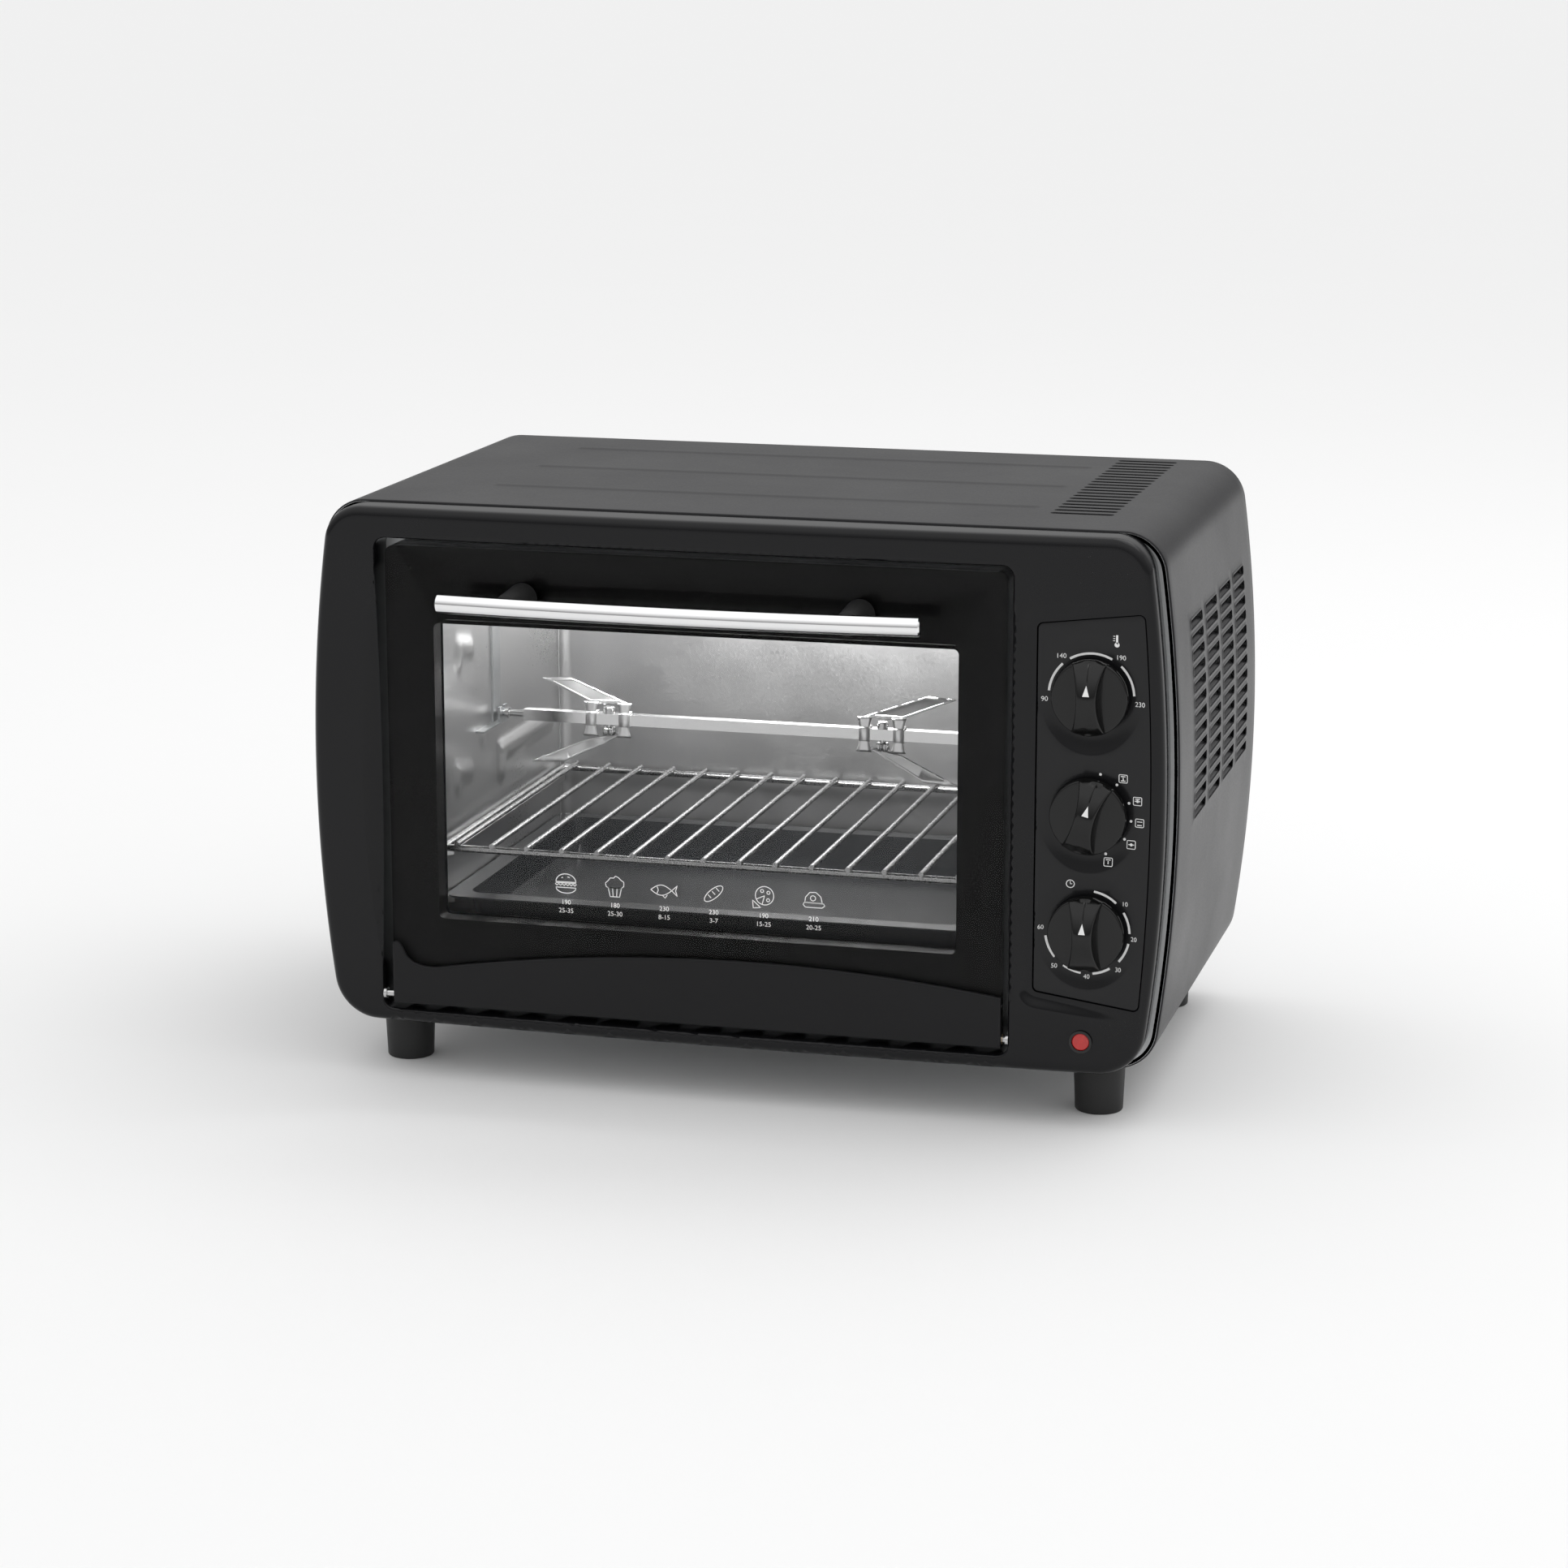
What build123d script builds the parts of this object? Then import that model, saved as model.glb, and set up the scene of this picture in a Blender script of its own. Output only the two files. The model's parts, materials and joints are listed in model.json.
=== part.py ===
"""Countertop toaster oven: bulged steel casing, drop-down glass door, rotisserie, rack, tray and controls.

Millimetres. +X is the oven's right as seen by the person facing it, +Y runs to the rear, +Z is up.
The origin is on the table under the middle of the oven. Depths count from FACE, the door's front plane.
"""

import math
import os

from build123d import *

os.makedirs("parts", exist_ok=True)

# ---- driving dimensions -------------------------------------------------------------------------------
FACE = -130.0  # y of the door's front plane
SHEET = 0.8  # steel sheet

# casing outline: both sides are arcs of one radius, widest at SIDE_Z
SIDE_R, SIDE_Z = 900.0, 178.0
BEZEL_HALF, BEZEL_BOTTOM, BEZEL_TOP, BEZEL_DEPTH = 240.5, 31.0, 324.0, 23.0
CROWN_R = 5760.0  # the bezel's front is slightly bowed in plan
WRAP_HALF, WRAP_BOTTOM, WRAP_TOP = 245.5, 30.0, 325.0
WRAP_CORNER = 24.0  # round at the roof and at the floor
WRAP_LIP = 184.0  # the wrapper's lower edges curl under the casing and reach in to this x
BEZEL_BACK = FACE + BEZEL_DEPTH
REAR = FACE + 294.0

# cavity, centred behind the door
DOOR_X = -19.75
CAVITY_HALF, CAVITY_FLOOR, CAVITY_ROOF, CAVITY_DEPTH = 155.0, 62.0, 288.0, 226.0
CAVITY_FRONT = BEZEL_BACK + SHEET
CAVITY_BACK = CAVITY_FRONT + CAVITY_DEPTH
CAVITY_L, CAVITY_R = DOOR_X - CAVITY_HALF, DOOR_X + CAVITY_HALF

# door
DOOR_W, DOOR_BOTTOM, DOOR_TOP, DOOR_CORNER = 348.5, 43.3, 303.6, 5.0
WINDOW_W, WINDOW_BOTTOM, WINDOW_TOP = 296.0, 92.7, 260.5
OPENING = (-201.0, 158.0, 39.0, 307.0)  # left, right, bottom and top of the bezel's door opening
GLASS_FRONT, GLASS_T, GLASS_BOTTOM = FACE + 1.7, 4.0, 62.0
FRAME_FRONT = GLASS_FRONT + GLASS_T
FRAME_WALL = 2.0
INNER_GLASS_Y, INNER_GLASS_T, INNER_GLASS_LAP = FACE + 17.0, 3.0, 10.0
LINER_Y = INNER_GLASS_Y + INNER_GLASS_T
HINGE_Y, HINGE_Z, PIN_R = FACE + 6.0, 47.0, 2.0
BUSH_R, BOSS_HALF, BOSS_LENGTH = 3.0, 3.7, 12.0
RUNNING = 0.06  # radial clearance of turning fits

# handle
BAR_R, BAR_HALF, BAR_Z, BAR_END_Y, BAR_BOW = 5.25, 134.0, 277.5, FACE - 25.0, 7.0
POST_X, POST_R_GLASS, POST_R_BAR = 94.75, 8.5, 6.5

# controls
CONTROL_X, CONTROL_Z = 200.0, (239.0, 174.5, 110.0)
PLATE_Y, PLATE_T = FACE + 5.0, 2.0
DISH_RADII, DISH_DEPTH = (28.0, 32.0), 0.8  # shallow oval dish round each knob
KNOB_R, KNOB_SKIRT, KNOB_HEIGHT, KNOB_GAP = 20.5, 4.5, 15.0, 0.8
SHAFT_R = 3.0
SELECTOR_REST = 14.0  # degrees clockwise at which the selector's pointer stands at off
LAMP_X, LAMP_Z, LAMP_R = 198.0, 49.7, 4.9

# rack, tray, rotisserie
LEDGE_W, LEDGE_T, RACK_LEDGE_Z, TRAY_LEDGE_Z = 5.5, 4.0, 125.6, 98.0
FIT_GAP = 0.35  # air between loose pieces and what carries them
RACK_WIRE_R, RACK_BAR_R, RACK_PITCH, RACK_BARS = 2.0, 1.5, 20.6, 15
TRAY_DEPTH, TRAY_FLANGE, TRAY_T, TRAY_CORNER = 16.0, 10.0, 1.0, 8.0
SPIT_Y, SPIT_Z, SPIT_SQUARE, SPIT_PIN_R = FACE + 125.0, 186.0, 6.3, 2.0
FORK_HUB, FORK_SPREAD = 20.0, 23.0

FOOT_X, FOOT_FRONT_Y, FOOT_REAR_Y, FOOT_R_TOP, FOOT_R_BOTTOM = 201.0, FACE + 45.0, FACE + 262.0, 14.5, 13.2


# ---- helpers ------------------------------------------------------------------------------------------
def facing(y):
    """Plane across the oven at depth y: its x is X, its y is Z and its normal points to the front."""
    return Plane(origin=(0, y, 0), x_dir=(1, 0, 0), z_dir=(0, -1, 0))


def block(x, y, z, mode=Mode.ADD):
    """Block between two coordinates on each axis."""
    middle = tuple((low + high) / 2 for low, high in (x, y, z))
    with Locations(middle):
        Box(x[1] - x[0], y[1] - y[0], z[1] - z[0], mode=mode)


def rod_x(radius, x, y, z, mode=Mode.ADD):
    """Round rod along X between the two values of x."""
    with Locations(((x[0] + x[1]) / 2, y, z)):
        Cylinder(radius, x[1] - x[0], rotation=(0, 90, 0), mode=mode)


def rod_y(radius, x, y, z, mode=Mode.ADD):
    """Round rod along Y between the two values of y."""
    with Locations((x, (y[0] + y[1]) / 2, z)):
        Cylinder(radius, y[1] - y[0], rotation=(90, 0, 0), mode=mode)


def rod_z(radius, x, y, z, mode=Mode.ADD):
    """Round rod along Z between the two values of z."""
    with Locations((x, y, (z[0] + z[1]) / 2)):
        Cylinder(radius, z[1] - z[0], mode=mode)


def save(part, label):
    """Label a finished piece and write its STEP file."""
    part.label = label
    export_step(part, f"parts/{label}.step")


def half_width(z, middle):
    """Half width of a bulged outline at height z, where middle is its half width at SIDE_Z."""
    return middle - SIDE_R + math.sqrt(SIDE_R**2 - (z - SIDE_Z) ** 2)


def casing_face(middle, bottom, top, corner_top, corner_bottom=0.0):
    """Closed outline with bulged sides, a flat roof and a flat floor."""
    with BuildSketch() as face:
        with BuildLine():
            low, high = half_width(bottom, middle), half_width(top, middle)
            floor = Line((-low, bottom), (low, bottom))
            right = ThreePointArc(floor @ 1, (middle, SIDE_Z), (high, top))
            roof = Line(right @ 1, (-high, top))
            ThreePointArc(roof @ 1, (-middle, SIDE_Z), floor @ 0)
        make_face()
        fillet(face.vertices().group_by(Axis.Y)[-1], corner_top)
        if corner_bottom:
            fillet(face.vertices().group_by(Axis.Y)[0], corner_bottom)
    return face.sketch


def plate_face(grow):
    """Outline of the control plate: straight left side, slanting ends and a bulged right side."""
    with BuildSketch() as face:
        with BuildLine():
            left = Line((171.0 - grow, 76.0 - grow), (171.0 - grow, 277.0 + grow))
            top = Line(left @ 1, (228.0 + grow, 284.0 + grow))
            right = ThreePointArc(top @ 1, (233.0 + grow, 176.0), (228.5 + grow, 68.0 - grow))
            Line(right @ 1, left @ 0)
        make_face()
        fillet(face.vertices(), 3.0 + grow)
    return face.sketch


bezel_outline = casing_face(BEZEL_HALF, BEZEL_BOTTOM, BEZEL_TOP, 22.0, 26.0)
bezel_hollow = casing_face(BEZEL_HALF - 3, BEZEL_BOTTOM + 3, BEZEL_TOP - 3, 19.0, 23.0)


def wrap_face(inset):
    """The wrapper's outline, moved in by inset."""
    corner = WRAP_CORNER - inset
    return casing_face(WRAP_HALF - inset, WRAP_BOTTOM + inset, WRAP_TOP - inset, corner, corner)


wrap_outer = wrap_face(0.0)
wrap_inner = wrap_face(SHEET)
wrap_flange = wrap_face(12.0)
panel_outline = wrap_face(SHEET + 0.2)
plate_outline = plate_face(0.0)
plate_pocket = plate_face(0.4)
plate_surround = plate_face(3.5)

# ---- casing -------------------------------------------------------------------------------------------
REAR_SCREW_IN, REAR_SCREW_ZS, REAR_SCREW_XS = 6.5, (70.0, 180.0, 285.0), (-120.0, 0.0, 120.0)
rear_screw_spots = []
for z in REAR_SCREW_ZS:
    edge = half_width(z, WRAP_HALF) - REAR_SCREW_IN
    rear_screw_spots += [(-edge, z), (edge, z)]
rear_screw_spots += [(x, WRAP_TOP - REAR_SCREW_IN) for x in REAR_SCREW_XS]
foot_spots = [(side * FOOT_X, y) for side in (-1, 1) for y in (FOOT_FRONT_Y, FOOT_REAR_Y)]
top_rib_ys = [FACE + y for y in (93.0, 170.0, 246.0)]
TOP_SLOTS, TOP_SLOT_PITCH = 20, 10.7
LOUVRE_ROWS, LOUVRE_PITCH, LOUVRE_COLUMNS, LOUVRE_COLUMN_PITCH = 13, 8.7, 4, 49.5
LOUVRE_LENGTH, LOUVRE_HEIGHT, LOUVRE_CORNER, LOUVRE_Y, LOUVRE_Z = 38.0, 5.3, 1.6, FACE + 166.0, 214.5
FLAP_IN, FLAP_UP, FLAP_T, FLAP_LAP = 6.0, 4.2, 0.8, 0.05
louvre_zs = [LOUVRE_Z + (row - (LOUVRE_ROWS - 1) / 2) * LOUVRE_PITCH for row in range(LOUVRE_ROWS)]
louvre_ys = [
    LOUVRE_Y + (column - (LOUVRE_COLUMNS - 1) / 2) * LOUVRE_COLUMN_PITCH
    for column in range(LOUVRE_COLUMNS)
]

with BuildPart() as outer_wrapper:
    with BuildSketch(facing(REAR)):
        add(wrap_outer)
        add(wrap_inner, mode=Mode.SUBTRACT)
    extrude(amount=REAR - BEZEL_BACK)
    with BuildSketch(facing(REAR - SHEET)):
        add(wrap_inner)
        add(wrap_flange, mode=Mode.SUBTRACT)
    extrude(amount=SHEET)
    block((-WRAP_LIP, WRAP_LIP), (BEZEL_BACK, REAR), (WRAP_BOTTOM - 1, WRAP_BOTTOM + 13), mode=Mode.SUBTRACT)
    with BuildSketch(Plane.XY.offset(WRAP_TOP)):
        for y in top_rib_ys:
            with Locations((-4.0, y)):
                SlotOverall(316.0, 9.0)
    extrude(amount=0.8)
    with BuildSketch(Plane.XY.offset(WRAP_TOP + 2)):
        with Locations((180.5, FACE + 176.0)):
            with GridLocations(0, TOP_SLOT_PITCH, 1, TOP_SLOTS):
                SlotOverall(35.0, 4.6)
    extrude(amount=-5, mode=Mode.SUBTRACT)
    with BuildSketch(Plane(origin=(200, LOUVRE_Y, LOUVRE_Z), x_dir=(0, 1, 0), z_dir=(1, 0, 0))):
        with GridLocations(LOUVRE_COLUMN_PITCH, LOUVRE_PITCH, LOUVRE_COLUMNS, LOUVRE_ROWS):
            RectangleRounded(LOUVRE_LENGTH, LOUVRE_HEIGHT, LOUVRE_CORNER)
    extrude(amount=60, mode=Mode.SUBTRACT)
    for y in louvre_ys:  # each louvre keeps its flap, bent inwards along its lower edge
        with BuildSketch(facing(y + LOUVRE_LENGTH / 2 - LOUVRE_CORNER)):
            for z in louvre_zs:
                low = z - LOUVRE_HEIGHT / 2
                root = half_width(low, WRAP_HALF)
                with BuildLine():
                    Polyline(
                        (root - FLAP_LAP, low - FLAP_T / 2),
                        (root - FLAP_LAP, low + FLAP_LAP),
                        (root - FLAP_IN, low + FLAP_UP),
                        (root - FLAP_IN - FLAP_T / 2, low + FLAP_UP - 0.6),
                        (root - SHEET + FLAP_LAP, low - FLAP_T / 2),
                        close=True,
                    )
                make_face()
        extrude(amount=LOUVRE_LENGTH - 2 * LOUVRE_CORNER)
    for x, z in rear_screw_spots:
        rod_y(2.1, x, (REAR - 6, REAR + 1), z, mode=Mode.SUBTRACT)
    for x, y in foot_spots:
        rod_z(2.1, x, y, (WRAP_BOTTOM - 1, WRAP_BOTTOM + 2), mode=Mode.SUBTRACT)
save(outer_wrapper.part, "outer_wrapper")

GLAND_X, GLAND_Z, GLAND_NECK_R, GLAND_FLANGE_R, GLAND_PROUD = 196.0, 64.0, 6.0, 9.0, 3.25
with BuildPart() as rear_panel:
    with BuildSketch(facing(REAR)):
        add(panel_outline)
    extrude(amount=SHEET)
    with BuildSketch(facing(REAR)):
        with Locations((120.0, 220.0)):
            with GridLocations(0, 12.0, 1, 9):
                SlotOverall(90.0, 4.0)
    extrude(amount=SHEET, mode=Mode.SUBTRACT)
    rod_y(GLAND_NECK_R, GLAND_X, (REAR - 3, REAR + 1), GLAND_Z, mode=Mode.SUBTRACT)
    for x, z in rear_screw_spots:
        rod_y(2.1, x, (REAR - 6, REAR + 1), z, mode=Mode.SUBTRACT)
save(rear_panel.part, "rear_panel")

with BuildPart() as rear_screws:
    for x, z in rear_screw_spots:
        rod_y(2.0, x, (REAR - 7, REAR), z)
        rod_y(3.8, x, (REAR, REAR + 2.2), z)
        block((x - 2.6, x + 2.6), (REAR + 1.3, REAR + 2.3), (z - 0.5, z + 0.5), mode=Mode.SUBTRACT)
        block((x - 0.5, x + 0.5), (REAR + 1.3, REAR + 2.3), (z - 2.6, z + 2.6), mode=Mode.SUBTRACT)
save(rear_screws.part, "rear_screws")

with BuildPart() as cord_gland:
    rod_y(GLAND_FLANGE_R, GLAND_X, (REAR, REAR + GLAND_PROUD), GLAND_Z)
    rod_y(GLAND_NECK_R, GLAND_X, (REAR - 3, REAR), GLAND_Z)
    rod_y(GLAND_FLANGE_R - 1, GLAND_X, (REAR - 6, REAR - SHEET), GLAND_Z)
    chamfer(cord_gland.edges().group_by(Axis.Y)[-1], 1.2)
    rod_y(3.8, GLAND_X, (REAR - 7, REAR + 4), GLAND_Z, mode=Mode.SUBTRACT)
save(cord_gland.part, "cord_gland")

BASE_HALF, BASE_Z = 206.0, WRAP_BOTTOM + SHEET  # the base plate lies on the wrapper's curled edges
with BuildPart() as base_plate:
    block((-BASE_HALF, BASE_HALF), (CAVITY_FRONT, REAR - 3), (BASE_Z, BASE_Z + SHEET))
    with BuildSketch(Plane.XY.offset(BASE_Z)):
        with Locations((DOOR_X, FACE + 155.0)):
            with GridLocations(0, 22.0, 1, 7):
                SlotOverall(120.0, 5.0)
    extrude(amount=SHEET, mode=Mode.SUBTRACT)
    for x, y in foot_spots:
        rod_z(2.1, x, y, (BASE_Z - 1, BASE_Z + 2), mode=Mode.SUBTRACT)
save(base_plate.part, "base_plate")

with BuildPart() as feet:
    with Locations([(x, y, WRAP_BOTTOM / 2) for x, y in foot_spots]):
        Cone(FOOT_R_BOTTOM, FOOT_R_TOP, WRAP_BOTTOM)
    fillet(feet.edges().group_by(Axis.Z)[0], 1.2)
    for x, y in foot_spots:
        rod_z(5.5, x, y, (-1, 8), mode=Mode.SUBTRACT)
        rod_z(2.1, x, y, (7, WRAP_BOTTOM + 1), mode=Mode.SUBTRACT)
save(feet.part, "feet")

with BuildPart() as foot_screws:
    for x, y in foot_spots:
        rod_z(4.0, x, y, (5, 8))
        rod_z(2.0, x, y, (8, WRAP_BOTTOM + 6))
save(foot_screws.part, "foot_screws")

with BuildPart() as front_panel:
    with BuildSketch(facing(CAVITY_FRONT)):
        add(panel_outline)
        with Locations((DOOR_X, (CAVITY_FLOOR + CAVITY_ROOF) / 2)):
            Rectangle(2 * CAVITY_HALF, CAVITY_ROOF - CAVITY_FLOOR, mode=Mode.SUBTRACT)
        with Locations([(CONTROL_X, z) for z in CONTROL_Z]):
            Circle(4.5, mode=Mode.SUBTRACT)
        with Locations((LAMP_X, LAMP_Z)):
            Circle(5.2, mode=Mode.SUBTRACT)
    extrude(amount=SHEET)
save(front_panel.part, "front_panel")

# ---- bezel and control plate --------------------------------------------------------------------------
OPENING_W, OPENING_H = OPENING[1] - OPENING[0], OPENING[3] - OPENING[2]
OPENING_MID = ((OPENING[0] + OPENING[1]) / 2, (OPENING[2] + OPENING[3]) / 2)
SCOOP_R, SCOOP_W, SCOOP_DEPTH, SCOOP_Z = 640.0, 10.0, 6.0, 176.0
scoop_x = OPENING[0] - SCOOP_W + SCOOP_R
scoop_place = Pos(scoop_x, FACE + SCOOP_DEPTH / 2, SCOOP_Z)
scoop = scoop_place * Rot(90, 0, 0) * Cone(SCOOP_R - SCOOP_W, SCOOP_R, SCOOP_DEPTH)
scoop &= Pos(OPENING[0] - 10, FACE, SCOOP_Z) * Box(24, 40, 280)

with BuildPart() as front_bezel:
    with BuildSketch(Plane.XY.offset(BEZEL_BOTTOM)):
        with BuildLine():
            crown = CROWN_R - math.sqrt(CROWN_R**2 - 260.0**2)
            rear = Line((-260, BEZEL_BACK), (260, BEZEL_BACK))
            side = Line(rear @ 1, (260, FACE + crown))
            front = ThreePointArc(side @ 1, (0, FACE), (-260, FACE + crown))
            Line(front @ 1, rear @ 0)
        make_face()
    extrude(amount=BEZEL_TOP - BEZEL_BOTTOM)
    with BuildSketch(facing(BEZEL_BACK)):
        add(bezel_outline)
    extrude(amount=40, mode=Mode.INTERSECT)
    fillet(front_bezel.faces().sort_by(Axis.Y)[0].edges(), 3.0)
    with BuildSketch(facing(BEZEL_BACK)):
        with Locations(OPENING_MID):
            RectangleRounded(OPENING_W, OPENING_H, 6.0)
    extrude(amount=40, mode=Mode.SUBTRACT)
    add(scoop, mode=Mode.SUBTRACT)
    with BuildSketch(facing(PLATE_Y + PLATE_T)):
        add(plate_pocket)
    extrude(amount=20, mode=Mode.SUBTRACT)
    with BuildSketch(facing(PLATE_Y - 0.4)):
        add(plate_surround)
    extrude(amount=20, mode=Mode.SUBTRACT)
    with BuildSketch(facing(BEZEL_BACK)):
        add(bezel_hollow)
        with Locations(OPENING_MID):
            RectangleRounded(OPENING_W + 6, OPENING_H + 6, 9.0, mode=Mode.SUBTRACT)
    extrude(amount=BEZEL_BACK - PLATE_Y - PLATE_T - 2.5, mode=Mode.SUBTRACT)
    for z in CONTROL_Z:
        rod_y(4.5, CONTROL_X, (FACE, BEZEL_BACK), z, mode=Mode.SUBTRACT)
    rod_y(LAMP_R, LAMP_X, (FACE - 1, BEZEL_BACK), LAMP_Z, mode=Mode.SUBTRACT)
    rod_x(PIN_R, (OPENING[0] - 4, OPENING[1] + 4), HINGE_Y, HINGE_Z, mode=Mode.SUBTRACT)
save(front_bezel.part, "front_bezel")

with BuildPart() as control_plate:
    with BuildSketch(facing(PLATE_Y + PLATE_T)):
        add(plate_outline)
    extrude(amount=PLATE_T)
    for z in CONTROL_Z:
        with BuildSketch(facing(PLATE_Y)):
            with Locations((CONTROL_X, z)):
                Ellipse(*DISH_RADII)
        extrude(amount=-DISH_DEPTH, mode=Mode.SUBTRACT)
        rod_y(4.5, CONTROL_X, (PLATE_Y - 1, PLATE_Y + 4), z, mode=Mode.SUBTRACT)
save(control_plate.part, "control_plate")

with BuildPart() as power_lamp_lens:
    lens_front = FACE + 3.5
    rod_y(LAMP_R, LAMP_X, (lens_front - 1.0, lens_front + 12.0), LAMP_Z)
    fillet(power_lamp_lens.edges().group_by(Axis.Y)[0], 0.9)
save(power_lamp_lens.part, "power_lamp_lens")

with BuildPart() as power_lamp_ring:
    rod_y(LAMP_R + 1.3, LAMP_X, (lens_front - 1.4, lens_front - 0.4), LAMP_Z)
    rod_y(LAMP_R, LAMP_X, (lens_front - 2.0, lens_front + 1.0), LAMP_Z, mode=Mode.SUBTRACT)
save(power_lamp_ring.part, "power_lamp_ring")

with BuildPart() as power_lamp_body:
    rod_y(4.4, LAMP_X, (lens_front + 12.0, lens_front + 34.0), LAMP_Z)
    for side in (-1, 1):
        middle = LAMP_X + side * 2.5
        block((middle - 0.4, middle + 0.4), (lens_front + 34.0, lens_front + 42.0), (LAMP_Z - 2, LAMP_Z + 2))
save(power_lamp_body.part, "power_lamp_body")

# ---- controls -----------------------------------------------------------------------------------------
SWITCH_FRONT = CAVITY_FRONT + 0.2
KNOB_BACK = PLATE_Y - KNOB_GAP
SHAFT_END = SWITCH_FRONT + 9.0
SHAFT_INTO_KNOB = 8.0
GRIP_HALF, GRIP_WAIST, GRIP_END = 9.5, 6.0, 19.0


def make_knob(label, z, pointer):
    """Round skirt with a waisted, domed grip bar; pointer is its angle clockwise from the top."""
    face = Plane(origin=(CONTROL_X, KNOB_BACK, z), x_dir=(1, 0, 0), z_dir=(0, -1, 0))
    side = Plane(origin=face.origin, x_dir=(0, 0, 1), z_dir=(1, 0, 0))
    with BuildPart(face) as knob:
        with BuildSketch(face):
            with BuildLine():
                right = ThreePointArc((GRIP_HALF, -GRIP_END), (GRIP_WAIST, 0), (GRIP_HALF, GRIP_END))
                top = ThreePointArc(right @ 1, (0, KNOB_R + 0.3), (-GRIP_HALF, GRIP_END))
                left = ThreePointArc(top @ 1, (-GRIP_WAIST, 0), (-GRIP_HALF, -GRIP_END))
                ThreePointArc(left @ 1, (0, -KNOB_R - 0.3), right @ 0)
            make_face()
        extrude(amount=KNOB_HEIGHT)
        with BuildSketch(side):
            with BuildLine():
                base = Line((-KNOB_R - 2, 0), (KNOB_R + 2, 0))
                ThreePointArc(base @ 1, (0, KNOB_HEIGHT), base @ 0)
            make_face()
        extrude(amount=12, both=True, mode=Mode.INTERSECT)
        Cylinder(KNOB_R, KNOB_SKIRT, align=(Align.CENTER, Align.CENTER, Align.MIN))
        bore_align = (Align.CENTER, Align.CENTER, Align.MIN)
        Cylinder(SHAFT_R, SHAFT_INTO_KNOB, align=bore_align, mode=Mode.SUBTRACT)
    turned = knob.part.rotate(Axis((CONTROL_X, 0, z), (0, 1, 0)), pointer)
    save(turned, label)


def make_shaft(label, z):
    """Control spindle from inside the knob to inside the switch."""
    with BuildPart() as shaft:
        rod_y(SHAFT_R, CONTROL_X, (KNOB_BACK - SHAFT_INTO_KNOB, SHAFT_END), z)
    save(shaft.part, label)


for name, z, pointer in zip(("temperature", "selector", "timer"), CONTROL_Z, (0.0, SELECTOR_REST, 0.0)):
    make_knob(f"{name}_knob", z, pointer)
    make_shaft(f"{name}_shaft", z)

with BuildPart() as thermostat:
    z = CONTROL_Z[0]
    block((CONTROL_X - 17, CONTROL_X + 17), (SWITCH_FRONT, SWITCH_FRONT + 14), (z - 15, z + 15))
    rod_y(13.0, CONTROL_X, (SWITCH_FRONT + 14, SWITCH_FRONT + 26), z)
    for side in (-1, 1):
        tab = CONTROL_X + side * 8
        block((tab - 3, tab + 3), (SWITCH_FRONT + 26, SWITCH_FRONT + 34), (z - 0.4, z + 0.4))
    rod_y(SHAFT_R + RUNNING, CONTROL_X, (SWITCH_FRONT - 1, SHAFT_END + 0.5), z, mode=Mode.SUBTRACT)
save(thermostat.part, "thermostat")

with BuildPart() as selector_switch:
    z = CONTROL_Z[1]
    block((CONTROL_X - 19, CONTROL_X + 19), (SWITCH_FRONT, SWITCH_FRONT + 26), (z - 19, z + 19))
    fillet(selector_switch.edges().filter_by(Axis.Y), 3.0)
    for step in range(4):
        tab = z - 12 + 8 * step
        block((CONTROL_X + 8, CONTROL_X + 9), (SWITCH_FRONT + 26, SWITCH_FRONT + 34), (tab - 2.5, tab + 2.5))
    rod_y(SHAFT_R + RUNNING, CONTROL_X, (SWITCH_FRONT - 1, SHAFT_END + 0.5), z, mode=Mode.SUBTRACT)
save(selector_switch.part, "selector_switch")

with BuildPart() as timer:
    z = CONTROL_Z[2]
    rod_y(26.0, CONTROL_X, (SWITCH_FRONT, SWITCH_FRONT + 30), z)
    rod_y(4.0, CONTROL_X, (SWITCH_FRONT + 30, SWITCH_FRONT + 35), z)
    rod_y(22.0, CONTROL_X, (SWITCH_FRONT + 35, SWITCH_FRONT + 40), z)
    rod_y(SHAFT_R + RUNNING, CONTROL_X, (SWITCH_FRONT - 1, SHAFT_END + 0.5), z, mode=Mode.SUBTRACT)
save(timer.part, "timer")

BLOCK_Y, BLOCK_Z = REAR - 70.0, BASE_Z + SHEET
with BuildPart() as terminal_block:
    block((176, 216), (BLOCK_Y - 11, BLOCK_Y + 11), (BLOCK_Z, BLOCK_Z + 15))
    for step in range(3):
        rod_z(3.0, 184 + 12 * step, BLOCK_Y, (BLOCK_Z + 8, BLOCK_Z + 16), mode=Mode.SUBTRACT)
        rod_y(2.4, 184 + 12 * step, (BLOCK_Y - 12, BLOCK_Y + 12), BLOCK_Z + 5, mode=Mode.SUBTRACT)
save(terminal_block.part, "terminal_block")

# ---- cavity -------------------------------------------------------------------------------------------
HEATER_R, HEATER_YS = 3.25, (FACE + 72.0, FACE + 196.0)
HEATER_HIGH, HEATER_LOW = CAVITY_ROOF - 12.0, CAVITY_FLOOR + 10.0
INSULATOR_R = 6.5
RUNNER_YS = (CAVITY_FRONT + 12.0, CAVITY_BACK - 6.0)
WALL_T = 0.6


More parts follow.
